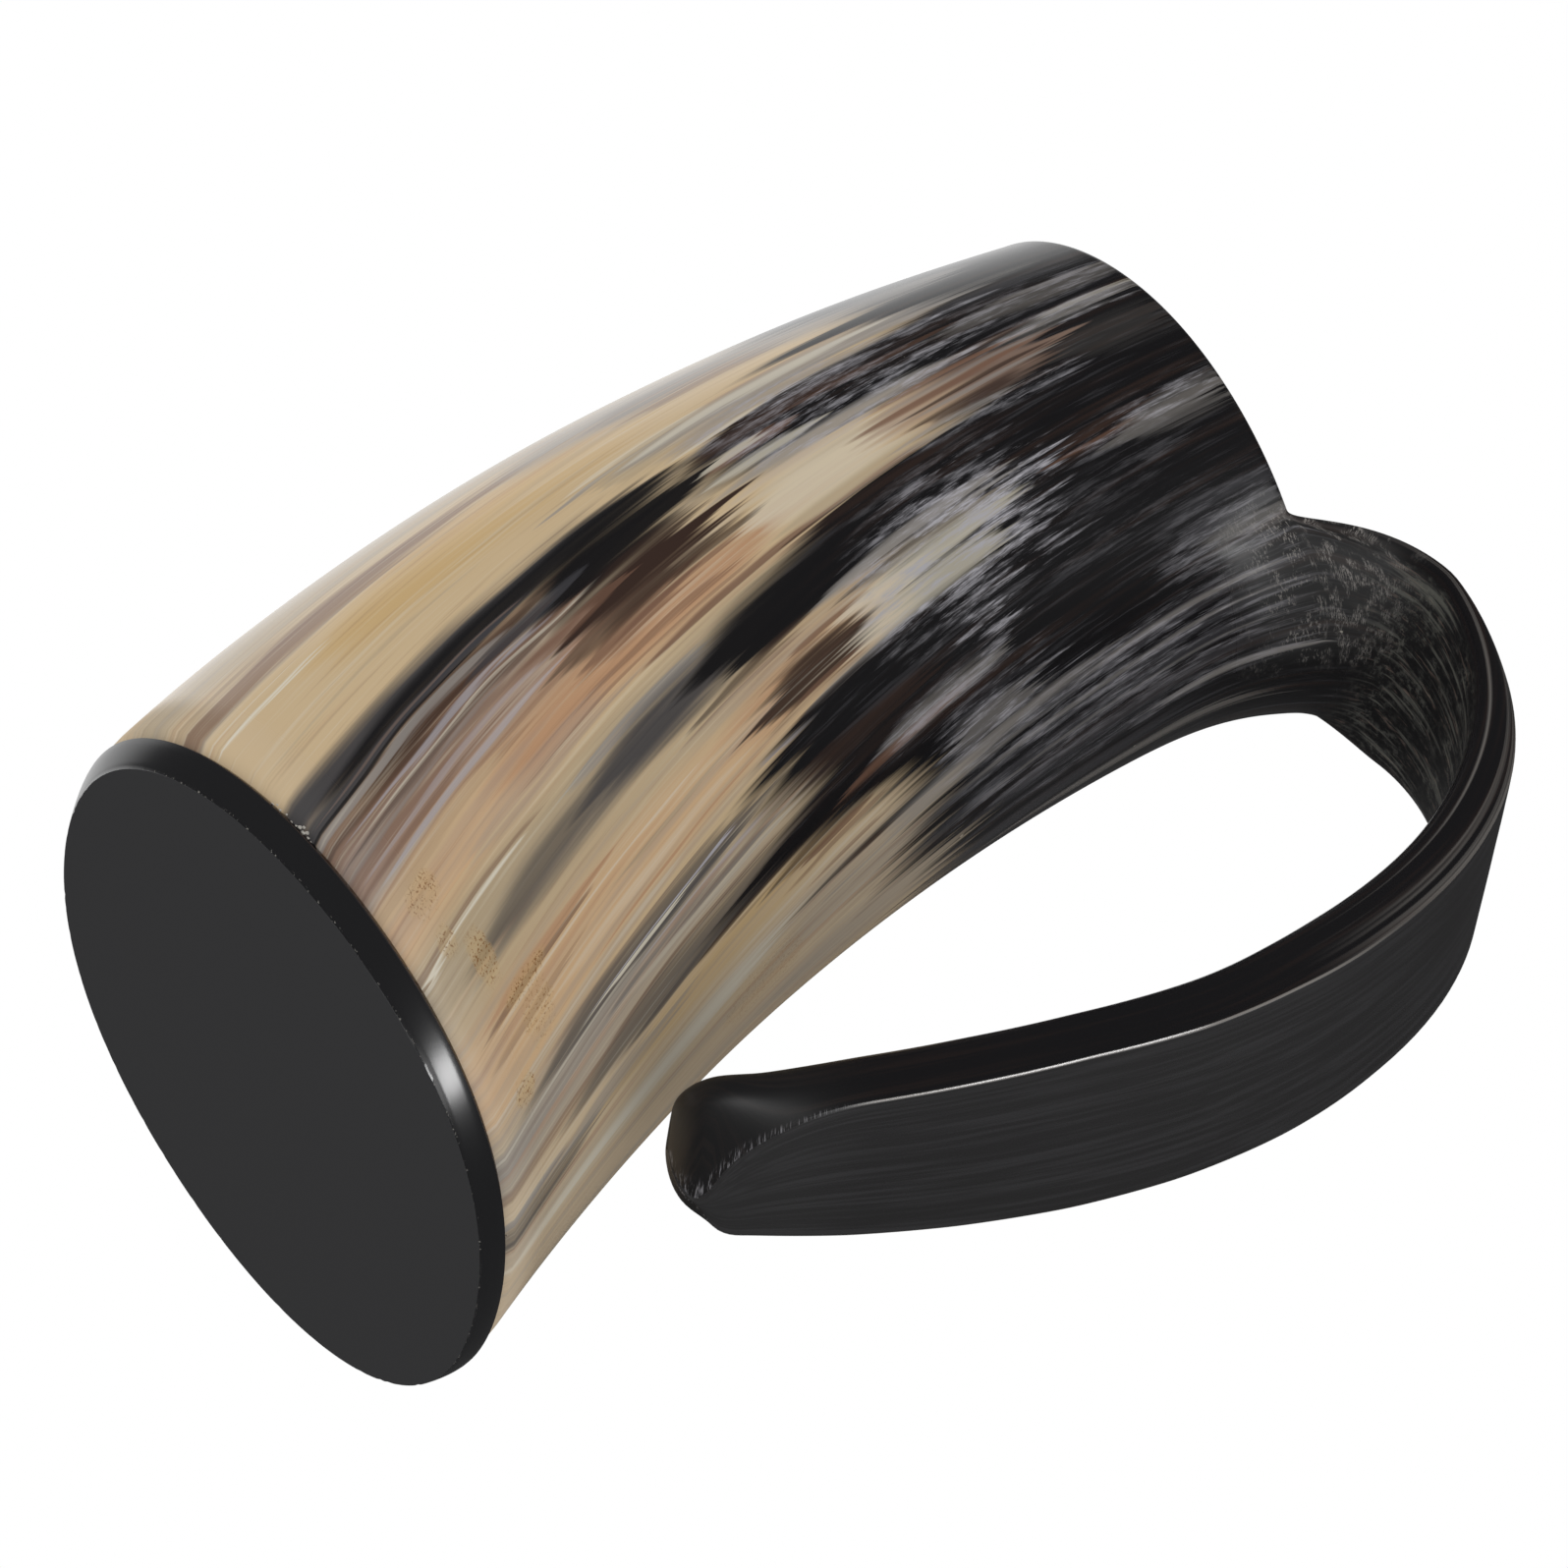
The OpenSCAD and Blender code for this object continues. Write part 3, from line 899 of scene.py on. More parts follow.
def strip_noise_group():
    """Noise drawn out along the handle."""
    tree, s, given, out = new_group(
        "Strip noise",
        (("Strip", "vector", None), ("Across", "value", 1.0), ("Along", "value", 20.0), ("Offset", "value", 0.0),
         ("Detail", "value", 2.0), ("Roughness", "value", 0.5), ("Aside", "value", 1.0)),
        (("Value", "value"),))
    parts = s.add("ShaderNodeSeparateXYZ", {"Vector": given["Strip"]}).outputs
    place = s.add("ShaderNodeCombineXYZ", {
        "X": s.math("DIVIDE", parts["X"], given["Across"]), "Y": s.math("DIVIDE", parts["Y"], given["Along"]),
        "Z": s.math("MULTIPLY_ADD", s.math("DIVIDE", parts["Z"], given["Across"]), given["Aside"], given["Offset"])
        }).outputs[0]
    grain = s.add("ShaderNodeTexNoise", {
        "Vector": place, "Scale": 1.0, "Detail": given["Detail"], "Roughness": given["Roughness"]})
    s.tree.links.new(grain.outputs["Fac"], out["Value"])
    return tree


def streak_group():
    """Mask of one streak: a lens of fibres between two levels, frayed at its ends."""
    tree, s, given, out = new_group(
        "Streak",
        (("Angle", "value", 0.0), ("Level", "value", 0.0), ("Fray", "value", 0.0), ("Middle", "value", 0.0),
         ("Width", "value", 5.0), ("From", "value", 0.0), ("To", "value", 1.0), ("Edge", "value", 0.4),
         ("Strength", "value", 1.0)),
        (("Mask", "value"),))
    away = s.math("ABSOLUTE", s.math("SUBTRACT", given["Angle"], given["Middle"]))
    aside = s.math("DIVIDE", away, s.math("MULTIPLY", given["Width"], 0.5))
    half = s.math("MULTIPLY", s.math("SUBTRACT", given["To"], given["From"]), 0.5)
    middle = s.math("ADD", given["From"], half)
    along = s.math("DIVIDE", s.math("SUBTRACT", given["Level"], middle), half)
    squared = s.math("MULTIPLY", along, along)
    reach = s.math("ADD", s.math("MULTIPLY_ADD", squared, squared, aside), given["Fray"])
    mask = s.ramp(
        reach, given["Strength"], 0.0, s.math("SUBTRACT", 1.0, given["Edge"]), s.math("ADD", 1.0, given["Edge"]))
    s.tree.links.new(mask, out["Mask"])
    return tree


def horn_groups():
    """The node groups that the horn's material uses."""
    return fibre_noise_group(), streak_group()


# Broad soft bands of the pale horn: middle and width in degrees of fibre angle, levels from and to, tone, strength
BROAD_BANDS = (
    (-131, 14, -1.0, 0.9, "tan", 0.9),
    (-118, 14, 0.42, 0.80, "smoke", 0.85),
    (-109, 12, 0.16, 0.56, "honey", 0.85),
    (-99, 9, -0.6, 0.40, "cream", 0.72),
    (-84, 12, -1.0, 0.9, "tan", 0.7),
    (-83.6, 9.5, -0.6, 0.46, "brown", 0.90),
    (-76.0, 9.0, -0.6, 0.40, "brown", 0.42),
    (-76, 12, -0.6, 0.50, "dusk", 0.85),
    (-67, 11, -0.6, 0.50, "peach", 0.95),
    (-68, 8, 0.18, 0.56, "rust", 0.62),
    (-57, 9, -1.0, 0.8, "tan", 0.9),
    (-47, 8, -1.0, 0.8, "tan", 0.55),
    (-38, 15, -0.6, 0.50, "peach", 0.80),
    (-40, 14, 0.40, 0.62, "rust", 0.35),
    (-23, 12, -0.8, 0.46, "smoke", 0.80),
    (-13, 12, -0.8, 0.50, "sand", 0.90),
    (-7, 8, 0.16, 0.50, "honey", 0.75),
    (0, 9, -1.0, 0.9, "sand", 0.85),
    (18, 34, -1.0, 1.2, "sand", 0.97),
    (9, 10, 0.38, 0.64, "smoke", 0.40),
    (25, 12, 0.38, 0.75, "smoke", 0.45),
)
# Streaks of the pale horn, as above
LOW_STREAKS = (
    (-118.6, 5.4, -0.30, 0.47, "brown", 0.78),
    (-120.8, 1.6, 0.10, 0.46, "brown", 0.4),
    (-115.6, 1.2, -0.1, 0.30, "smoke", 0.3),
    (-116, 8, 0.52, 0.72, "slate", 0.22),
    (-110.5, 4, 0.56, 0.73, "brown", 0.50),
    (-111.2, 0.7, 0.04, 0.19, "bone", 0.95),
    (-113.2, 0.6, -0.1, 0.14, "bone", 0.4),
    (-105.5, 1.0, 0.30, 0.50, "bone", 0.25),
    (-103.8, 0.8, 0.02, 0.40, "bone", 0.25),
    (-101.4, 0.7, 0.02, 0.36, "tan", 0.5),
    (-100.2, 1.2, 0.42, 0.60, "bone", 0.55),
    (-98.8, 0.7, 0.40, 0.55, "smoke", 0.8),
    (-96.5, 5, 0.44, 0.56, "tan", 0.7),
    (-85.6, 5.0, 0.10, 0.46, "umber", 0.75),
    (-86.5, 1.0, -0.1, 0.28, "smoke", 0.75),
    (-84.2, 1.2, -0.1, 0.30, "umber", 0.45),
    (-83.2, 0.7, 0.06, 0.34, "lilac", 0.55),
    (-82.2, 0.5, 0.05, 0.37, "bone", 0.55),
    (-81.4, 1.4, 0.02, 0.38, "umber", 0.50),
    (-80.2, 0.6, 0.02, 0.26, "smoke", 0.6),
    (-79.2, 2.4, -0.1, 0.34, "brown", 0.48),
    (-77.6, 0.8, 0.03, 0.34, "lilac", 0.35),
    (-76.4, 1.0, -0.1, 0.30, "brown", 0.55),
    (-74.6, 1.4, 0.05, 0.30, "lilac", 0.55),
    (-73.0, 0.9, 0.0, 0.34, "brown", 0.35),
    (-71.6, 1.2, 0.0, 0.24, "brown", 0.30),
    (-70.5, 4.6, 0.33, 0.48, "brown", 0.75),
    (-70.0, 1.0, 0.36, 0.54, "brown", 0.65),
    (-71.5, 3.0, 0.0, 0.20, "cream", 0.45),
    (-64.0, 4.0, 0.12, 0.34, "smoke", 0.35),
    (-66.3, 0.7, 0.28, 0.50, "brown", 0.55),
    (-64.6, 0.8, 0.20, 0.52, "brown", 0.45),
    (-62.7, 1.8, 0.36, 0.72, "brown", 0.85),
    (-62.0, 0.9, 0.52, 0.71, "umber", 0.7),
    (-63.6, 0.6, 0.0, 0.25, "cream", 0.5),
    (-60.0, 0.9, -0.1, 0.24, "brown", 0.55),
    (-59.3, 0.6, 0.02, 0.22, "bone", 0.95),
    (-58.0, 1.2, 0.24, 0.44, "smoke", 0.8),
    (-56.4, 1.0, 0.24, 0.46, "slate", 0.5),
    (-44.6, 1.8, 0.04, 0.22, "rust", 0.55),
    (-43.0, 1.2, 0.06, 0.20, "brown", 0.70),
    (-41.6, 0.6, 0.08, 0.36, "bone", 0.45),
    (-39.6, 0.6, 0.20, 0.42, "tan", 0.6),
    (-38.6, 0.7, 0.03, 0.16, "brown", 0.35),
    (-36.5, 1.4, 0.14, 0.40, "bone", 0.30),
    (-34.2, 0.6, 0.20, 0.46, "rust", 0.6),
    (-32.6, 0.8, -0.1, 0.34, "bone", 0.35),
    (-43.8, 1.1, 0.47, 0.60, "brown", 0.75),
    (-42.0, 1.0, 0.45, 0.56, "brown", 0.45),
    (-38.2, 6.4, 0.43, 0.585, "umber", 0.96),
    (-35.6, 1.2, 0.46, 0.58, "brown", 0.55),
    (-45.8, 0.9, 0.36, 0.54, "brown", 0.55),
    (-31.2, 0.8, 0.42, 0.50, "lilac", 0.75),
    (-28.0, 4.8, 0.08, 0.42, "slate", 0.72),
    (-27.7, 0.45, 0.17, 0.38, "lilac", 1.0),
    (-27.0, 0.35, 0.17, 0.30, "bone", 0.9),
    (-26.2, 1.0, 0.22, 0.44, "slate", 0.5),
    (-24.4, 0.8, 0.24, 0.44, "lilac", 0.55),
    (-22.6, 1.4, 0.20, 0.42, "slate", 0.35),
    (-21.2, 0.8, 0.20, 0.42, "bone", 0.30),
    (-25.6, 0.7, -0.1, 0.24, "bone", 0.4),
    (-23.6, 1.2, -0.1, 0.22, "brown", 0.20),
    (-17.4, 2.2, -0.2, 0.26, "brown", 0.55),
    (-18.6, 1.2, 0.18, 0.42, "brown", 0.6),
    (-15.2, 6.4, 0.12, 0.60, "slate", 0.72),
    (-12.6, 2.0, 0.20, 0.44, "slate", 0.6),
    (-11.6, 2.2, 0.30, 0.50, "umber", 0.85),
    (-13.4, 0.8, 0.0, 0.22, "bone", 0.25),
    (-9.0, 2.6, 0.38, 0.56, "umber", 0.75),
    (-7.0, 1.6, 0.40, 0.52, "brown", 0.8),
    (-5.0, 1.0, 0.42, 0.53, "brown", 0.55),
    (-2.6, 1.0, 0.36, 0.52, "bone", 0.35),
    (-0.4, 1.0, 0.42, 0.53, "brown", 0.45),
    (-7.2, 6.0, -0.12, 0.155, "slate", 0.62),
    (-5.0, 3.0, -0.10, 0.13, "slate", 0.5),
    (-10.6, 2.0, -0.1, 0.10, "smoke", 0.8),
    (-9.0, 4.0, 0.10, 0.26, "smoke", 0.6),
    (3.0, 1.8, 0.43, 0.66, "umber", 0.92),
    (4.2, 0.5, 0.12, 0.52, "brown", 0.45),
    (2.6, 5.4, 0.02, 0.42, "bone", 0.70),
    (6.6, 1.2, 0.44, 0.62, "smoke", 0.6),
    (9.4, 1.0, 0.48, 0.60, "brown", 0.35),
    (12.6, 0.8, 0.50, 0.60, "umber", 0.85),
    (18.0, 1.4, 0.50, 0.60, "brown", 0.35),
    (21.0, 1.2, 0.48, 0.60, "brown", 0.3),
)
# Black streaks that run down into the pale horn
BLACK_STREAKS = (
    (-91.8, 5.8, -0.34, 0.48, "slate", 0.97),
    (-90.2, 5.0, 0.06, 0.53, "black", 0.94),
    (-88.4, 2.2, -0.30, 0.34, "slate", 0.95),
    (-88.9, 0.6, 0.03, 0.30, "dusk", 0.30),
    (-87.6, 0.7, -0.2, 0.30, "black", 0.85),
    (-85.6, 1.2, 0.16, 0.40, "smoke", 0.35),
    (-85.2, 11.0, 0.33, 0.535, "black", 0.99),
    (-84.8, 2.6, 0.22, 0.38, "slate", 0.8),
    (-77.0, 9.0, 0.33, 0.545, "umber", 1.0),
    (-73.4, 4.0, 0.30, 0.46, "umber", 0.65),
    (-79.0, 3.0, 0.28, 0.42, "brown", 0.6),
    (-71.6, 2.4, 0.44, 0.555, "umber", 0.75),
    (-53.6, 8.0, 0.26, 0.60, "slate", 0.80),
    (-53.2, 6.0, 0.06, 0.46, "slate", 0.70),
    (-53.5, 11.0, 0.40, 0.70, "black", 0.99),
    (-49.6, 4.4, 0.42, 0.62, "black", 0.97),
    (-47.4, 1.6, 0.38, 0.54, "umber", 0.7),
    (3.6, 3.4, 0.10, 0.38, "bone", 0.75),
)
# Levels at which the horn turns black towards the mouth, by fibre angle
DARK_LEVELS = (
    (-140, 0.74), (-124, 0.72), (-116, 0.74), (-110, 0.78), (-106, 0.76), (-102.5, 0.67), (-99.5, 0.78),
    (-96, 0.82), (-92, 0.66), (-89.5, 0.53), (-85, 0.535), (-80.5, 0.56), (-79, 0.70), (-75, 0.76), (-66, 0.76),
    (-63, 0.74), (-60.5, 0.58), (-57, 0.54), (-52, 0.54), (-49, 0.58), (-46, 0.62), (-41, 0.62), (-35, 0.61),
    (-32.8, 0.52), (-31.4, 0.44), (-26, 0.425), (-21, 0.44), (-16, 0.44), (-14.4, 0.33), (-11.8, 0.385), (-9.6, 0.47), (-7, 0.52),
    (-3, 0.545), (0.8, 0.56), (2.6, 0.54), (5, 0.62), (8, 0.60), (13, 0.555), (18, 0.56), (24, 0.60), (30, 0.60),
    (40, 0.60), (52, 0.58))

# Lighter streaks over the black
HIGH_STREAKS = (
    (-111.5, 9, 0.68, 0.92, "smoke", 0.60),
    (-97.2, 4.4, 0.48, 0.90, "smoke", 0.85),
    (-97.8, 2.0, 0.50, 0.80, "bone", 0.65),
    (-93.6, 3.6, 0.52, 0.80, "smoke", 0.70),
    (-92.2, 1.0, 0.54, 0.66, "bone", 0.55),
    (-88.6, 4.2, 0.54, 0.74, "umber", 0.95),
    (-86.8, 1.2, 0.64, 0.84, "brown", 0.30),
    (-84.6, 2.2, 0.53, 0.64, "brown", 0.75),
    (-85.4, 1.2, 0.52, 0.60, "bone", 0.60),
    (-81.6, 1.5, 0.54, 0.66, "bone", 0.60),
    (-78.6, 3.6, 0.55, 0.80, "smoke", 0.80),
    (-77.2, 1.4, 0.66, 0.82, "slate", 0.6),
    (-69.6, 9.8, 0.535, 0.72, "bone", 0.52),
    (-64.6, 2.4, 0.54, 0.76, "tan", 0.70),
    (-75.8, 2.0, 0.56, 0.70, "lilac", 0.25),
    (-71.0, 10, 0.68, 0.90, "dusk", 0.62),
    (-76.0, 1.6, 0.70, 0.90, "brown", 0.75),
    (-73.8, 1.0, 0.70, 0.88, "smoke", 0.45),
    (-72.4, 1.3, 0.66, 0.88, "brown", 0.80),
    (-70.2, 1.2, 0.70, 0.86, "umber", 0.80),
    (-68.6, 1.2, 0.74, 0.90, "smoke", 0.60),
    (-66.4, 1.6, 0.72, 0.84, "umber", 0.75),
    (-64.6, 1.4, 0.70, 0.84, "smoke", 0.55),
    (-62.8, 1.0, 0.68, 0.80, "smoke", 0.45),
    (-76.2, 3.4, 0.84, 1.02, "smoke", 0.50),
    (-77.8, 0.7, 0.88, 1.02, "bone", 0.25),
    (-85.2, 4.6, 0.82, 1.02, "smoke", 0.26),
    (-87.6, 1.2, 0.86, 1.0, "smoke", 0.30),
    (-98.0, 2.4, 0.82, 0.98, "smoke", 0.22),
    (-92.8, 3.0, 0.76, 0.95, "slate", 0.55),
    (-45.4, 1.2, 0.57, 0.74, "umber", 0.92),
    (-42.2, 5.8, 0.55, 0.76, "bone", 0.62),
    (-48.0, 2.6, 0.54, 0.76, "smoke", 0.85),
    (-36.4, 6.0, 0.55, 0.74, "bone", 0.60),
    (-39.4, 1.0, 0.62, 0.76, "slate", 0.55),
    (-33.0, 2.4, 0.50, 0.64, "smoke", 0.50),
    (-44.6, 4.6, 0.80, 0.92, "umber", 0.90),
    (-43.8, 1.4, 0.80, 0.92, "brown", 0.45),
    (-45.0, 1.0, 0.80, 1.02, "black", 0.85),
    (-41.4, 7.0, 0.88, 1.02, "smoke", 0.40),
    (-66.0, 9.0, 0.88, 1.02, "smoke", 0.08),
    (-27.4, 8.0, 0.72, 0.94, "black", 0.9),
    (-22.0, 4.0, 0.44, 0.62, "umber", 0.55),
    (-24.0, 1.0, 0.50, 0.70, "slate", 0.5),
    (-13.0, 5.0, 0.54, 0.70, "smoke", 0.55),
    (-12.0, 2.6, 0.47, 0.66, "brown", 0.70),
    (-12.6, 1.2, 0.56, 0.66, "lilac", 0.50),
    (-2.0, 9.0, 0.605, 0.73, "slate", 0.75),
    (-1.6, 6.0, 0.61, 0.72, "smoke", 0.40),
    (4.6, 4.8, 0.52, 0.80, "smoke", 0.72),
    (5.6, 3.6, 0.66, 1.0, "slate", 0.95),
    (5.2, 1.6, 0.74, 0.97, "smoke", 0.55),
    (8.2, 1.2, 0.56, 0.98, "black", 0.95),
    (11.2, 3.2, 0.55, 1.0, "slate", 0.85),
    (10.6, 1.4, 0.60, 0.96, "smoke", 0.45),
    (14.2, 1.3, 0.50, 1.0, "black", 0.95),
    (17.0, 4.4, 0.54, 0.98, "slate", 0.80),
    (17.6, 1.2, 0.60, 0.96, "smoke", 0.35),
    (20.2, 1.0, 0.60, 0.95, "black", 0.8),
    (23.0, 4.0, 0.62, 0.98, "slate", 0.70),
    (28.4, 3.4, 0.62, 0.97, "slate", 0.90),
    (28.0, 2.4, 0.82, 0.97, "smoke", 0.70),
    (31.6, 1.0, 0.60, 0.96, "black", 0.8),
    (35.0, 4.0, 0.56, 0.90, "slate", 0.70),
    (40.6, 3.6, 0.66, 0.97, "smoke", 0.55),
    (-6.0, 5.0, 0.90, 1.02, "smoke", 0.32),
    (-10.0, 4.0, 0.88, 1.02, "slate", 0.75),
    (-16.0, 3.0, 0.86, 1.02, "slate", 0.5),
)
# Zones of whitish flecks in the black, as above without the tone
FROSTED = (
    (-40, 23, 0.58, 0.80, 1.0),
    (-44, 14, 0.64, 0.80, 1.0),
    (-35, 10, 0.60, 0.76, 0.9),
    (-22, 20, 0.665, 0.715, 0.75),
    (-92.5, 8, 0.54, 0.84, 0.65),
    (-84, 9, 0.56, 0.84, 0.55),
    (-79, 5, 0.58, 0.82, 0.7),
    (-86, 7, 0.82, 1.0, 0.35),
    (-76, 5, 0.84, 1.0, 0.55),
    (-63, 4, 0.70, 0.88, 0.5),
    (-43.5, 7, 0.84, 1.0, 0.55),
    (-32, 8, 0.78, 0.92, 0.12),
    (-21, 6, 0.76, 0.92, 0.12),
    (-13, 6, 0.54, 0.70, 0.55),
    (-2, 10, 0.60, 0.74, 0.75),
    (-6, 18, 0.86, 1.0, 0.35),
    (5.4, 5, 0.60, 0.98, 0.55),
    (11, 5, 0.60, 0.98, 0.55),
    (18, 9, 0.62, 0.98, 0.42),
    (28, 5, 0.70, 0.98, 0.45),
)
# Small rusty specks near the foot, as above
SPECKLED = (
    (-53, 8, 0.080, 0.105, 1.0),
    (-44, 3, 0.09, 0.15, 1.0),
    (-30.5, 4, 0.066, 0.092, 1.0),
    (-68, 5, 0.055, 0.095, 0.8),
    (-60, 4, 0.060, 0.080, 0.8),
    (-38, 8, 0.10, 0.14, 0.6),
    (12, 12, 0.33, 0.43, 0.35),
)


def zone(s, group, fibre_at, level_at, fray, streaks, edge=0.5):
    """Mask of a list of zones, the strongest where they overlap."""
    whole = None
    for middle, width, low, high, strength in streaks:
        mask = s.group(group, {
            "Angle": fibre_at, "Level": level_at, "Fray": fray, "Middle": middle, "Width": width, "From": low,
            "To": high, "Edge": edge, "Strength": strength})[0]
        whole = mask if whole is None else s.math("MAXIMUM", whole, mask)
    return whole


def coloured_streaks(s, base, palette, group, fibre_at, level_at, fray, streaks, edge):
    """Lays a list of streaks over a colour."""
    for middle, width, low, high, tone, strength in streaks:
        base = s.blend(zone(s, group, fibre_at, level_at, fray, ((middle, width, low, high, strength),), edge),
                       base, getattr(palette, tone))
    return base


def fray_of(s, noise_value, amount):
    """Noise from -amount to amount."""
    return s.math("MULTIPLY", s.math("SUBTRACT", noise_value, 0.5), 2 * amount)


def sparse_marks(s, fibre):
    """Mask of a few short pale scratches and specks: small lenses in some of the cells of a pattern."""
    place = s.add("ShaderNodeVectorMath", operation="MULTIPLY")
    fed(s.tree, place.inputs[0], fibre)
    fed(s.tree, place.inputs[1], (MARK_CELL, MARK_CELL, MARK_CELL * 0.55))
    cells = s.add("ShaderNodeTexVoronoi", {"Vector": place.outputs[0], "Scale": 1.0}, feature="F1")
    chosen = s.add("ShaderNodeSeparateColor", {"Color": cells.outputs["Color"]}).outputs
    reach = s.math("MULTIPLY", chosen["Green"], MARK_REACH)
    near = s.ramp(s.math("SUBTRACT", cells.outputs["Distance"], reach), 1.0, 0.0, -0.01, 0.012)
    return s.math("MULTIPLY", near, s.math("GREATER_THAN", chosen["Red"], 1 - MARK_SHARE))


def dark_edge(s, angle_at):
    """Level at which the horn turns black, as a curve over the fibre angle."""
    curve = s.add("ShaderNodeFloatCurve")
    low, high = DARK_LEVELS[0][0], DARK_LEVELS[-1][0]
    across = s.math("DIVIDE", s.math("SUBTRACT", angle_at, low), high - low)
    fed(s.tree, curve.inputs["Value"], across)
    points = curve.mapping.curves[0].points
    while len(points) < len(DARK_LEVELS):
        points.new(0.5, 0.5)
    for point, (at, value) in zip(points, DARK_LEVELS):
        point.location = ((at - low) / (high - low), value)
        point.handle_type = "AUTO_CLAMPED"
    curve.mapping.update()
    return curve.outputs[0]


# Cells per millimetre of the pattern of scratches, the largest mark as a share of a cell, and the share of cells with one
MARK_CELL = 0.22
MARK_REACH = 0.055
MARK_SHARE = 0.16
# Fibre angle at which the far side starts to repeat the near side's streaks backwards
FOLD_ANGLE = 50.0
# Angles that the near side's streaks cover and that the far side has, in degrees
NEAR_SPAN = 190.0
FAR_SPAN = 170.0
# How far the repeated streaks are moved towards the foot in the middle of the far side, as a level
FOLD_SHIFT = 0.05


def folded_side(s, turn_share, level):
    """Fibre angle and level at which the streaks are read: the far side takes the near side's, mirrored."""
    angle = s.math("MULTIPLY", turn_share, 360.0)
    past = s.math("MAXIMUM", s.math("SUBTRACT", angle, FOLD_ANGLE), 0.0)
    folded = s.math("SUBTRACT", angle, s.math("MULTIPLY", past, 1 + NEAR_SPAN / FAR_SPAN))
    shift = s.math("SINE", s.math("MULTIPLY", past, math.pi / FAR_SPAN))
    return folded, s.math("MULTIPLY_ADD", shift, FOLD_SHIFT, level)


def horn_material(palette, noise_group, streak):
    """Polished horn: streaks along the fibres, black towards the mouth and on the handle."""
    material = bpy.data.materials.new("polished_horn")
    material.use_nodes = True
    tree = material.node_tree
    tree.nodes.clear()
    s = Shader(tree)
    fibre = s.add("ShaderNodeAttribute", attribute_name="fibre").outputs["Vector"]
    strip = s.add("ShaderNodeAttribute", attribute_name="strip").outputs["Vector"]
    place = s.add("ShaderNodeUVMap", uv_map="fibre_map").outputs[0]
    parts = s.add("ShaderNodeSeparateXYZ", {"Vector": place}).outputs
    bare_angle, level = folded_side(s, parts["X"], parts["Y"])

    def grain(across, along_mm, offset, detail=2.0, roughness=0.5):
        return s.group(noise_group, {
            "Fibre": fibre, "Across": across, "Along": along_mm, "Offset": offset, "Detail": detail,
            "Roughness": roughness})[0]

    strand = grain(1.8, 70.0, 3.0)
    hair = grain(0.45, 30.0, 11.0)
    tongue = grain(1.0, 45.0, 23.0)
    cloud = grain(6.0, 30.0, 31.0, 1.0)
    fleck = grain(0.22, 2.4, 47.0, 3.0, 0.65)
    curd = grain(1.1, 8.0, 59.0)
    wander = s.math("ADD", fray_of(s, strand, 1.5), fray_of(s, cloud, 1.5))
    angle_at = s.math("ADD", bare_angle, s.math("ADD", wander, fray_of(s, hair, 0.5)))
    tip = s.math("ADD", fray_of(s, tongue, 0.09), fray_of(s, hair, 0.035))
    level_at = s.math("ADD", level, tip)
    fray = s.math("ADD", fray_of(s, tongue, 0.55), fray_of(s, hair, 0.55))
    soft = s.math("ADD", fray_of(s, tongue, 0.50), fray_of(s, strand, 0.35))
    soft_angle = s.math("ADD", bare_angle, wander)

    def lay(base, streaks, edge, at=angle_at, ends=fray):
        return coloured_streaks(s, base, palette, streak, at, level_at, ends, streaks, edge)

    base = lay(palette.cream, BROAD_BANDS, 0.75)
    base = s.blend(s.ramp(grain(2.4, 80.0, 57.0), 0.0, 0.32, 0.52, 0.70), base, palette.smoke)
    base = s.blend(s.ramp(strand, 0.0, 0.34, 0.56, 0.74), base, palette.rust)
    base = lay(base, LOW_STREAKS, 0.5)
    base = s.blend(s.ramp(hair, 0.0, 0.22, 0.54, 0.74), base, palette.bone)
    base = s.blend(s.ramp(hair, 0.22, 0.0, 0.26, 0.44), base, palette.brown)
    base = lay(base, BLACK_STREAKS, 0.50, soft_angle, soft)

    past = s.math("SUBTRACT", level_at, dark_edge(s, angle_at))
    dark = s.ramp(past, 0.0, 1.0, -0.048, 0.048)
    night = s.blend(s.ramp(strand, 0.0, 0.60, 0.48, 0.74), palette.black, palette.umber)
    night = s.blend(s.ramp(grain(0.7, 16.0, 71.0, 3.0, 0.6), 0.0, 0.60, 0.50, 0.74), night, palette.slate)
    horn = s.blend(dark, base, night)
    horn = lay(horn, HIGH_STREAKS, 0.65)
    frost = zone(s, streak, angle_at, level_at, fray, FROSTED, 0.9)
    grains = s.math("ADD", s.math("MULTIPLY", fleck, 0.55), s.math("MULTIPLY", curd, 0.45))
    grains = s.math("ADD", s.ramp(grains, 0.0, 0.85, 0.47, 0.64), s.ramp(curd, 0.0, 0.30, 0.40, 0.65))
    horn = s.blend(s.math("MULTIPLY", frost, grains), horn, palette.lilac)
    rusty = zone(s, streak, bare_angle, level, fray_of(s, curd, 0.8), SPECKLED, 0.6)
    horn = s.blend(s.math("MULTIPLY", rusty, 0.4), horn, palette.honey)
    dots = s.ramp(grain(0.32, 0.32, 83.0, 2.0, 0.6), 0.0, 0.9, 0.56, 0.64)
    horn = s.blend(s.math("MULTIPLY", rusty, dots), horn, palette.ochre)

    scratch = sparse_marks(s, fibre)
    horn = s.blend(s.math("MULTIPLY", scratch, 0.7), horn, palette.bone)

    horn, rough = strip_finish(s, palette, horn, grain, strip, bare_angle, parts["Y"])
    out = s.add("ShaderNodeOutputMaterial")
    shader = s.add("ShaderNodeBsdfPrincipled", {"Base Color": horn, "Roughness": rough})
    tree.links.new(shader.outputs[0], out.inputs["Surface"])
    return material


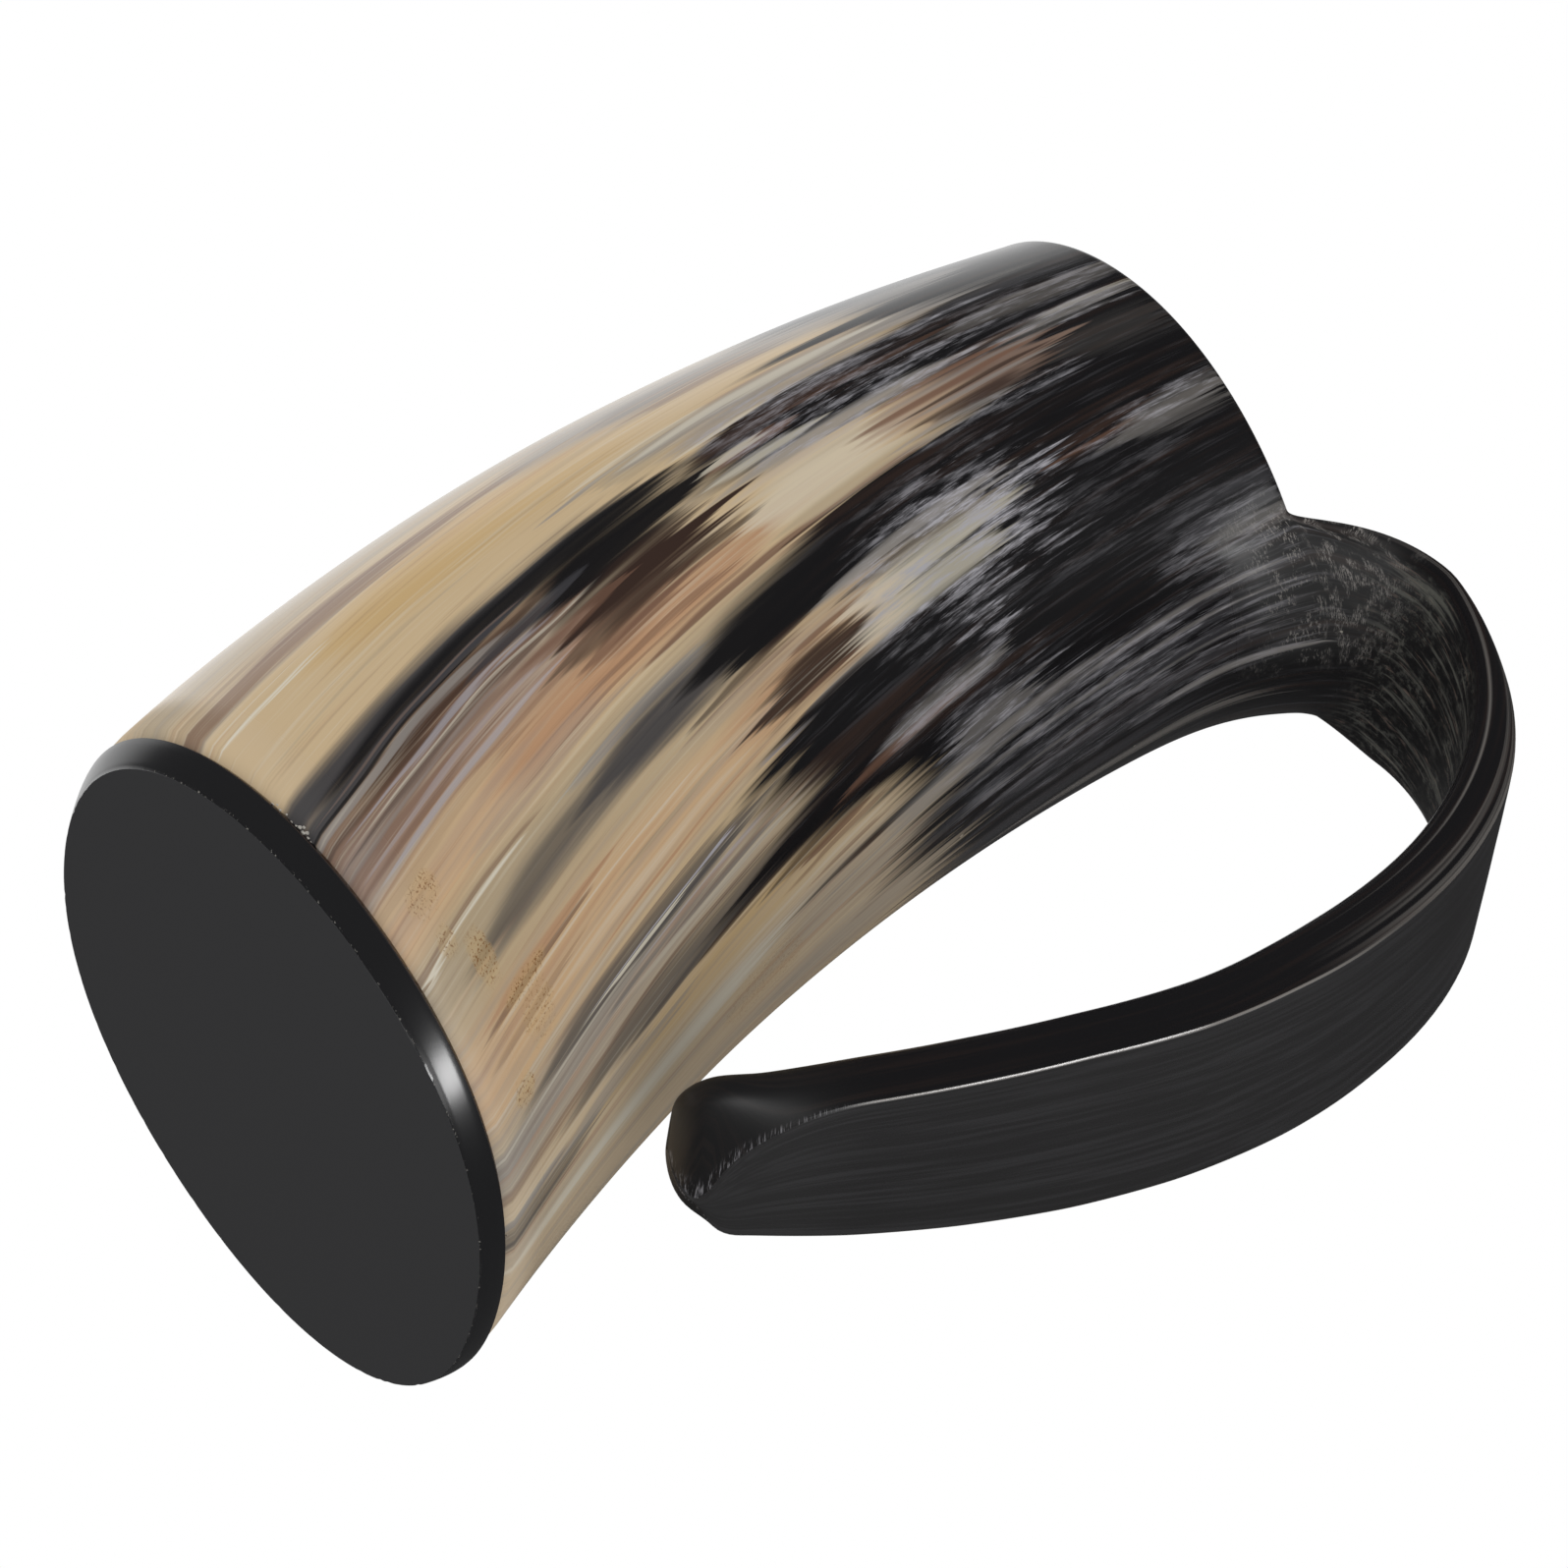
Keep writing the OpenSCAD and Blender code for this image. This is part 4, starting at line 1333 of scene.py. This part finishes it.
def strip_finish(s, palette, horn, grain, strip, bare_angle, level):
    """Tones and roughness of the handle: satin outer face, polished sides, crazed inside the bend."""
    parts = s.add("ShaderNodeSeparateXYZ", {"Vector": strip}).outputs
    turn, along = parts["X"], parts["Y"]
    strip_noise = strip_noise_group()

    def drawn(across, along_mm, offset, detail=2.0, roughness=0.5, aside=1.0):
        return s.group(strip_noise, {
            "Strip": strip, "Across": across, "Along": along_mm, "Offset": offset, "Detail": detail,
            "Roughness": roughness, "Aside": aside})[0]

    on_strip = s.ramp(along, 0.0, 1.0, 2.0, 16.0)
    outer = s.ramp(turn, 0.0, 1.0, 1.001, 1.008)
    inside = s.ramp(turn, 1.0, 0.0, -1.10, -0.96)
    tone = s.blend(s.ramp(grain(0.8, 60.0, 91.0, 3.0, 0.6), 0.0, 0.3, 0.45, 0.75), palette.black, palette.umber)
    # Pale smoke-grey lines along the polished sides, up to about 95 mm along the strip: partly grey streaks in the
    # horn, partly painted highlight lines.
    streaks_and_painted_highlights = s.math("MULTIPLY", s.ramp(turn, 0.0, 1.0, -0.8, -0.3), s.ramp(along, 1.0, 0.0, 60.0, 95.0))
    tone = s.blend(
        s.math("MULTIPLY", streaks_and_painted_highlights, s.ramp(drawn(0.24, 160.0, 5.0, aside=0.0), 0.0, 0.50, 0.50, 0.68)), tone, palette.smoke)
    crazed = s.ramp(drawn(1.1, 1.6, 9.0, 5.0, 0.8), 0.0, 1.0, 0.48, 0.64)
    crazed = s.math("MULTIPLY", crazed, s.ramp(drawn(5.0, 7.0, 19.0), 0.25, 1.0, 0.40, 0.62))
    inner_tone = s.blend(s.math("MULTIPLY", crazed, 0.6), palette.black, palette.craze)
    inner_tone = s.blend(s.ramp(drawn(0.9, 14.0, 61.0, 3.0, 0.6), 0.0, 0.75, 0.52, 0.70), inner_tone, palette.craze)
    inner_tone = s.blend(s.ramp(grain(0.9, 5.0, 103.0, 3.0, 0.65), 0.0, 0.28, 0.56, 0.72), inner_tone, palette.dusk)
    tone = s.blend(inside, tone, inner_tone)
    satin = s.blend(s.ramp(grain(1.2, 30.0, 107.0, 3.0, 0.6), 0.0, 0.35, 0.4, 0.7), palette.satin, palette.slate)
    tone = s.blend(outer, tone, satin)
    horn = s.blend(on_strip, horn, tone)

    rim = s.ramp(level, 0.0, 1.0, 0.90, 0.985)
    root = s.math("MULTIPLY", rim, s.ramp(s.math("ABSOLUTE", s.math("SUBTRACT", bare_angle, 12.0)), 1.0, 0.0, 16.0, 27.0))
    root = s.math("MULTIPLY", root, s.ramp(along, 1.0, 0.0, 8.0, 18.0))
    root = s.math("MULTIPLY", root, s.ramp(turn, 1.0, 0.0, 0.0, 0.3))
    cracks = s.ramp(drawn(0.9, 0.10, 27.0, 3.0, 0.7), 0.0, 1.0, 0.52, 0.62)
    cracks = s.math("MAXIMUM", cracks, s.ramp(grain(1.0, 0.25, 29.0, 3.0, 0.7), 0.0, 1.0, 0.53, 0.62))
    cracks = s.math("MULTIPLY", cracks, s.ramp(grain(3.0, 2.2, 33.0), 0.0, 1.0, 0.44, 0.60))
    horn = s.blend(s.math("MULTIPLY", root, s.math("MULTIPLY", cracks, 0.75)), horn, palette.smoke)

    filed = s.math("MULTIPLY", s.ramp(turn, 0.0, 1.0, 0.80, 0.95), s.ramp(turn, 1.0, 0.0, 1.0, 1.02))
    filed = s.math("MULTIPLY", filed, s.ramp(along, 0.0, 1.0, 152.0, 160.0))
    strokes = s.ramp(drawn(2.0, 0.13, 13.0), 0.0, 0.40, 0.52, 0.66)
    horn = s.blend(s.math("MULTIPLY", filed, strokes), horn, palette.lilac)
    # Painted highlight: a pale smoke-grey line along both creases of the flat outer face, from about 70 to 156 mm
    # along the strip, standing in for the lamp's highlight on the crease.
    wear_and_painted_highlight = s.math("MULTIPLY", s.ramp(turn, 0.0, 1.0, 0.92, 0.97), s.ramp(turn, 1.0, 0.0, 1.006, 1.016))
    wear_and_painted_highlight = s.math("MULTIPLY", wear_and_painted_highlight, s.ramp(along, 0.0, 1.0, 70.0, 95.0))
    wear_and_painted_highlight = s.math("MULTIPLY", wear_and_painted_highlight, s.ramp(along, 0.75, 0.0, 150.0, 156.0))
    horn = s.blend(wear_and_painted_highlight, horn, palette.smoke)

    satin_here = s.math("MULTIPLY", outer, s.ramp(along, 0.0, 1.0, 20.0, 34.0))
    rough = s.math("MULTIPLY_ADD", satin_here, 0.30, 0.20)
    dull = s.math("MAXIMUM", root, s.math("MULTIPLY", inside, on_strip))
    dull = s.math("MAXIMUM", dull, s.ramp(along, 0.0, 0.5, 148.0, 162.0))
    dull = s.math("MAXIMUM", dull, s.ramp(level, 0.7, 0.0, 0.05, 0.09))
    rough = s.math("MULTIPLY_ADD", s.math("SUBTRACT", 0.78, rough), dull, rough)
    return horn, rough


def plain_material(name, tone, roughness):
    material = bpy.data.materials.new(name)
    material.use_nodes = True
    shader = material.node_tree.nodes["Principled BSDF"]
    shader.inputs["Base Color"].default_value = (*tone, 1)
    shader.inputs["Roughness"].default_value = roughness
    return material


class HORNCUP_OT_horn(bpy.types.Operator):
    """Models the horn: the wall, its lip and the strip that is bent over into the handle"""

    bl_idname = "horncup.horn"
    bl_label = "Horn"

    def execute(self, context):
        cup, strip = values(context.scene.horn_cup), values(context.scene.horn_handle)
        palette = values(context.scene.horn_colours)
        piece = start_ring("horn", COLUMNS)
        raise_wall(piece, cup, strip)
        loop, angles = open_sector(piece)
        pull_strip(piece, cup, strip, loop, angles)
        close_mesh()
        write_maps(piece)
        subdivide(piece, 1)
        wear_creases(piece)
        material = horn_material(palette, *horn_groups())
        finish_piece(piece, material, ("horn_cup", "horn_handle"))
        return {"FINISHED"}


# Rings and columns of the plate, the glue seam and the bead
PLATE_COLUMNS = 320
PLATE_EDGE_ROWS = 8
PLATE_FACE_SHARES = (0.985, 0.9, 0.6, 0.25)
SEAM_COLUMNS = 160
BEAD_COLUMNS = 96
BEAD_ROWS = 6
# Nicks along the crisp edge, in millimetres along it
CHIP_LENGTH = 0.9
CHIP_START = 0.60
CRISP_STEP = 0.00012


def plate_points(cup, q, level, inset):
    """A ring of the plate, whose outline goes on that of the horn."""
    return wall_points(cup, level / cup.rim_height, q, inset)


def plate_chips(cup, base, q):
    """Depth of the small nicks along the plate's crisp edge."""
    around = plate_points(cup, q, 0, 0) / MM
    depth = np.array([noise.noise(Vector(p) / CHIP_LENGTH) * 0.5 + 0.5 for p in around])
    return base.chip * np.clip((depth - CHIP_START) / (1 - CHIP_START), 0, 1)


def shrink_rings(piece, points, middle, shares):
    """Pulls a ring in towards its middle and closes it there."""
    for k in shares:
        pull_ring(piece, middle + (points - middle) * k)
    bpy.ops.mesh.merge(type="CENTER")


class HORNCUP_OT_base(bpy.types.Operator):
    """Models the base plate: a matt underside, a crisp nicked edge and a polished convex band"""

    bl_idname = "horncup.base"
    bl_label = "Base plate"

    def execute(self, context):
        cup, base = values(context.scene.horn_cup), values(context.scene.horn_base)
        palette = values(context.scene.horn_colours)
        q = np.arange(PLATE_COLUMNS) * 2 * math.pi / PLATE_COLUMNS
        piece = start_ring("base_plate", PLATE_COLUMNS)
        rim = plate_points(cup, q, 0, base.taper + plate_chips(cup, base, q))
        place_ring(piece, rim, row=0)
        pull_ring(piece, plate_points(cup, q, CRISP_STEP, base.taper), row=1)
        for j in range(1, PLATE_EDGE_ROWS + 1):
            level = base.thick * j / PLATE_EDGE_ROWS
            inset = base.taper * (1 - level / base.thick) ** base.power
            pull_ring(piece, plate_points(cup, q, level, inset), row=j + 1)
        top = plate_points(cup, q, base.thick, 0)
        shrink_rings(piece, top, np.array([0, 0, base.thick]), PLATE_FACE_SHARES)
        select_where(piece, lambda mesh, v: v[mesh.verts.layers.int["row"]] == 0 and v.co.z < MM * 0.01)
        shrink_rings(piece, rim, np.zeros(3), PLATE_FACE_SHARES)
        close_mesh()
        drop_marks(piece)
        bpy.ops.object.shade_smooth_by_angle(angle=math.radians(SHARP_ANGLE))
        finish_piece(piece, plate_material(palette), "base_plate")
        return {"FINISHED"}


# Crumbs of dried glue at the seam: angle in degrees, height above the seam and radius in millimetres
CRUMBS = (
    (-97.6, 0.0, 0.22), (-96.9, 0.4, 0.15), (-96.0, 0.1, 0.20), (-94.6, 0.3, 0.13), (-93.2, 0.0, 0.18),
    (-92.2, 0.1, 0.15), (-91.6, 0.3, 0.27), (-91.1, 0.7, 0.20), (-90.6, 0.1, 0.30), (-90.1, 0.5, 0.24),
    (-89.4, 0.1, 0.20), (-88.6, 0.0, 0.14), (-64.0, 0.0, 0.12), (-41.0, 0.0, 0.14), (-12.0, 0.0, 0.12))


def add_crumbs(cup):
    """Adds the crumbs to the mesh in edit mode."""
    for angle, rise, radius in CRUMBS:
        share_up = (cup.foot + (rise + radius / 2) * MM) / cup.rim_height
        at = wall_points(cup, share_up, np.array([math.radians(angle)]), radius * MM * 0.65)[0]
        bpy.ops.mesh.primitive_ico_sphere_add(
            subdivisions=2, radius=radius * MM, location=at, scale=(1.0, 0.45, 0.8),
            rotation=(0, 0, math.radians(angle + 90)))
        bpy.ops.transform.vertex_random(offset=radius * MM / 3, uniform=0.8, seed=int(10 * rise))


class HORNCUP_OT_glue(bpy.types.Operator):
    """Models the glue seam with its crumbs of dried glue"""

    bl_idname = "horncup.glue"
    bl_label = "Glue seam"

    def execute(self, context):
        cup, base = values(context.scene.horn_cup), values(context.scene.horn_base)
        palette = values(context.scene.horn_colours)
        q = np.arange(SEAM_COLUMNS) * 2 * math.pi / SEAM_COLUMNS
        piece = start_ring("glue_seam", SEAM_COLUMNS)
        corners = (
            (base.thick, base.glue_inset), (cup.foot, base.glue_inset), (cup.foot, cup.wall_base),
            (base.thick, cup.wall_base))
        for row, (level, inset) in enumerate(corners):
            step = place_ring if row == 0 else pull_ring
            step(piece, plate_points(cup, q, level, inset), row=row)
        select_where(piece, lambda mesh, v: v[mesh.verts.layers.int["row"]] in (0, 3))
        bpy.ops.mesh.bridge_edge_loops()
        add_crumbs(cup)
        close_mesh()
        drop_marks(piece)
        bpy.ops.object.shade_smooth_by_angle(angle=math.radians(SHARP_ANGLE))
        finish_piece(piece, glue_material(palette, cup), "glue_film")
        return {"FINISHED"}


class HORNCUP_OT_bead(bpy.types.Operator):
    """Models the bead of resin round the inside of the bottom"""

    bl_idname = "horncup.bead"
    bl_label = "Sealing bead"

    def execute(self, context):
        cup, base = values(context.scene.horn_cup), values(context.scene.horn_base)
        palette = values(context.scene.horn_colours)
        q = np.arange(BEAD_COLUMNS) * 2 * math.pi / BEAD_COLUMNS
        piece = start_ring("sealing_bead", BEAD_COLUMNS)
        low = cup.wall_base + base.seal_gap
        rows = [(base.thick, low)]
        for j in range(BEAD_ROWS + 1):
            t = math.pi / 2 * j / BEAD_ROWS
            rows.append((base.thick + base.seal * (1 - math.sin(t)), low + base.seal * (1 - math.cos(t))))
        for row, (level, inset) in enumerate(rows):
            step = place_ring if row == 0 else pull_ring
            step(piece, plate_points(cup, q, level, inset), row=row)
        last = len(rows) - 1
        select_where(piece, lambda mesh, v: v[mesh.verts.layers.int["row"]] in (0, last))
        bpy.ops.mesh.bridge_edge_loops()
        close_mesh()
        drop_marks(piece)
        bpy.ops.object.shade_smooth_by_angle(angle=math.radians(SHARP_ANGLE))
        finish_piece(piece, plain_material("amber_resin", palette.resin, 0.2), "sealing_bead")
        return {"FINISHED"}


def drop_marks(piece):
    for name in (*MARKS, "number", "row"):
        piece.data.attributes.remove(piece.data.attributes[name])


def glue_material(palette, cup):
    """Dried glue: pale above the seam; below the top of the seam painted dark umber, as painted shade in the gap and
    painted shadow on the crumbs' lower parts.
    """
    material = bpy.data.materials.new("dried_glue")
    material.use_nodes = True
    s = Shader(material.node_tree)
    place = s.add("ShaderNodeTexCoord").outputs["Object"]
    height = s.add("ShaderNodeSeparateXYZ", {"Vector": place}).outputs["Z"]
    # Painted shade: below the top of the seam the glue is coloured umber, for the shade in the gap and under the
    # crumbs.
    above = s.ramp(height, 0.0, 1.0, cup.foot, cup.foot + CRISP_STEP)
    shader = material.node_tree.nodes["Principled BSDF"]
    fed(s.tree, shader.inputs["Base Color"], s.blend(above, palette.umber, palette.glue))
    shader.inputs["Roughness"].default_value = 0.6
    return material


def plate_material(palette):
    """Black plate: ground matt underneath, polished round the edge, pale where the edge is nicked."""
    material = bpy.data.materials.new("black_plate")
    material.use_nodes = True
    tree = material.node_tree
    tree.nodes.clear()
    s = Shader(tree)
    place = s.add("ShaderNodeTexCoord").outputs["Object"]
    height = s.add("ShaderNodeSeparateXYZ", {"Vector": place}).outputs["Z"]
    ground = s.math("LESS_THAN", height, CRISP_STEP / 2)
    edge = s.math("SUBTRACT", s.ramp(height, 1.0, 0.0, CRISP_STEP, CRISP_STEP * 3), ground)
    specks = s.add("ShaderNodeTexNoise", {"Vector": place, "Scale": 2600.0, "Detail": 2.0}).outputs["Fac"]
    wear_and_painted_highlight = s.math("MULTIPLY", edge, s.ramp(specks, 0.0, 0.6, 0.60, 0.72))
    tone = s.blend(ground, palette.plate, palette.matt)
    tone = s.blend(wear_and_painted_highlight, tone, palette.glue)
    shader = s.add("ShaderNodeBsdfPrincipled", {
        "Base Color": tone, "Roughness": s.math("MULTIPLY_ADD", ground, 0.32, 0.22)})
    tree.links.new(shader.outputs[0], s.add("ShaderNodeOutputMaterial").inputs["Surface"])
    return material


class HORNCUP_OT_stage(bpy.types.Operator):
    """Sets up the floor, the soft lamps, the pale surroundings and the camera"""

    bl_idname = "horncup.stage"
    bl_label = "Stage"

    def execute(self, context):
        stage = values(context.scene.horn_stage)
        place_camera(context, stage)
        light_world(context, stage)
        add_lamps(context, stage)
        add_floor()
        context.scene.view_settings.view_transform = "Standard"
        return {"FINISHED"}


def camera_axes(stage):
    """The camera's right, up and backward directions."""
    a, e, r = stage.azimuth, stage.elevation, stage.roll
    back = Vector((math.sin(a) * math.cos(e), -math.cos(a) * math.cos(e), math.sin(e)))
    level = Vector((math.cos(a), math.sin(a), 0))
    over = back.cross(level)
    return math.cos(r) * level + math.sin(r) * over, -math.sin(r) * level + math.cos(r) * over, back


def place_camera(context, stage):
    right, up, back = camera_axes(stage)
    camera = bpy.data.objects.new("camera", bpy.data.cameras.new("camera"))
    context.collection.objects.link(camera)
    camera.data.sensor_width = 36
    camera.data.lens = stage.lens
    camera.data.clip_start = 0.01
    turn = Matrix((right, up, back)).transposed().to_4x4()
    turn.translation = Vector(stage.target) + back * stage.distance
    camera.matrix_world = turn
    context.scene.camera = camera


# Pale soft light seen in polished horn from behind and above the picture, and the dark round it
GLOSS_LIGHT = 1.0
GLOSS_DARK = 0.05
GLOSS_TURN = (0.93, 0.78)


def light_world(context, stage):
    world = bpy.data.worlds.new("surroundings")
    context.scene.world = world
    world.use_nodes = True
    tree = world.node_tree
    tree.nodes.clear()
    s = Shader(tree)
    right, up, back = camera_axes(stage)
    ray = s.add("ShaderNodeLightPath").outputs
    towards = s.add("ShaderNodeTexCoord").outputs["Generated"]
    facing = s.add("ShaderNodeVectorMath", operation="DOT_PRODUCT")
    fed(tree, facing.inputs[0], towards)
    fed(tree, facing.inputs[1], tuple((up * 0.45 - back * 0.85 - right * 0.3).normalized()))
    seen = s.ramp(facing.outputs["Value"], GLOSS_LIGHT, GLOSS_DARK, *GLOSS_TURN)
    strength = s.blend(ray["Is Glossy Ray"], (stage.fill,) * 3, s.add("ShaderNodeCombineColor", {
        "Red": seen, "Green": seen, "Blue": seen}).outputs[0])
    clear = s.math("MAXIMUM", ray["Is Camera Ray"], ray["Is Transmission Ray"])
    light = s.blend(clear, strength, (1.0, 1.0, 1.0))
    shader = s.add("ShaderNodeBackground", {"Color": light, "Strength": 1.0})
    tree.links.new(shader.outputs[0], s.add("ShaderNodeOutputWorld").inputs["Surface"])


def add_lamp(context, stage, name, aim, size, power, distance=0.9):
    """A square soft lamp, placed by its direction in the picture: right, up and towards the camera."""
    right, up, back = camera_axes(stage)
    middle = (CAD_BOX[0] + CAD_BOX[1]) / 2
    way = (right * aim[0] + up * aim[1] + back * aim[2]).normalized()
    lamp = bpy.data.objects.new(name, bpy.data.lights.new(name, "AREA"))
    context.collection.objects.link(lamp)
    lamp.data.shape = "RECTANGLE"
    lamp.data.size, lamp.data.size_y = size
    lamp.data.energy = power
    turn = way.to_track_quat("Z", "Y").to_matrix().to_4x4()
    turn.translation = middle + way * distance
    lamp.matrix_world = turn
    return lamp


def add_lamps(context, stage):
    add_lamp(context, stage, "key_lamp", (-0.55, 0.65, 0.6), (0.7, 0.7), 1.0).visible_glossy = False
    for name, aim, size, power in (
            ("low_lamp", (0.17, -0.47, 0.865), (0.26, 0.26), 0.7),
            ("strip_lamp", (0.60, -0.27, 0.75), (0.22, 0.42), 5.5)):
        add_lamp(context, stage, name, aim, size, power).visible_diffuse = False


# Clear space between the floor and the plate, so that the two faces don't fight
FLOOR_GAP = 0.0002


def add_floor():
    """A pale floor that the camera sees only from above."""
    clear_selection()
    bpy.ops.mesh.primitive_plane_add(size=6.0, location=(0, 0, -FLOOR_GAP))
    floor = bpy.context.active_object
    floor.name = floor.data.name = "floor"
    bpy.ops.object.mode_set(mode="EDIT")
    bpy.ops.mesh.subdivide(number_cuts=4)
    bpy.ops.object.mode_set(mode="OBJECT")
    material = bpy.data.materials.new("pale_floor")
    material.use_nodes = True
    tree = material.node_tree
    tree.nodes.clear()
    s = Shader(tree)
    ray = s.add("ShaderNodeLightPath").outputs
    back = s.add("ShaderNodeNewGeometry").outputs["Backfacing"]
    shown = s.math("MULTIPLY", ray["Is Camera Ray"], s.math("SUBTRACT", 1.0, back))
    pale = s.add("ShaderNodeBsdfDiffuse", {"Color": (0.86, 0.86, 0.86, 1)})
    clear = s.add("ShaderNodeBsdfTransparent")
    mixed = s.add("ShaderNodeMixShader", {"Fac": shown})
    tree.links.new(clear.outputs[0], mixed.inputs[1])
    tree.links.new(pale.outputs[0], mixed.inputs[2])
    tree.links.new(mixed.outputs[0], s.add("ShaderNodeOutputMaterial").inputs["Surface"])
    floor.data.materials.append(material)


class HORNCUP_PT_panel(bpy.types.Panel):
    """Lists the steps that make the cup"""

    bl_idname = "HORNCUP_PT_panel"
    bl_label = "Horn cup"
    bl_space_type = "VIEW_3D"
    bl_region_type = "UI"
    bl_category = "Horn cup"

    def draw(self, context):
        for group in GROUPS:
            held = getattr(context.scene, group)
            for key in held.__annotations__:
                self.layout.prop(held, key)
        for operator in OPERATORS:
            self.layout.operator(operator.bl_idname)


GROUPS = {
    "horn_cup": CupSizes, "horn_handle": HandleSizes, "horn_base": BaseSizes, "horn_colours": HornColours,
    "horn_stage": StageSettings}
OPERATORS = (HORNCUP_OT_horn, HORNCUP_OT_base, HORNCUP_OT_glue, HORNCUP_OT_bead, HORNCUP_OT_stage)


def register():
    for item in (*GROUPS.values(), *OPERATORS, HORNCUP_PT_panel):
        bpy.utils.register_class(item)
    for name, group in GROUPS.items():
        setattr(bpy.types.Scene, name, PointerProperty(type=group))


def unregister():
    for name in GROUPS:
        delattr(bpy.types.Scene, name)
    for item in reversed((*GROUPS.values(), *OPERATORS, HORNCUP_PT_panel)):
        bpy.utils.unregister_class(item)


def main():
    register()
    for operator in OPERATORS:
        getattr(bpy.ops.horncup, operator.bl_idname.split(".")[1])()


if __name__ == "__main__":
    main()
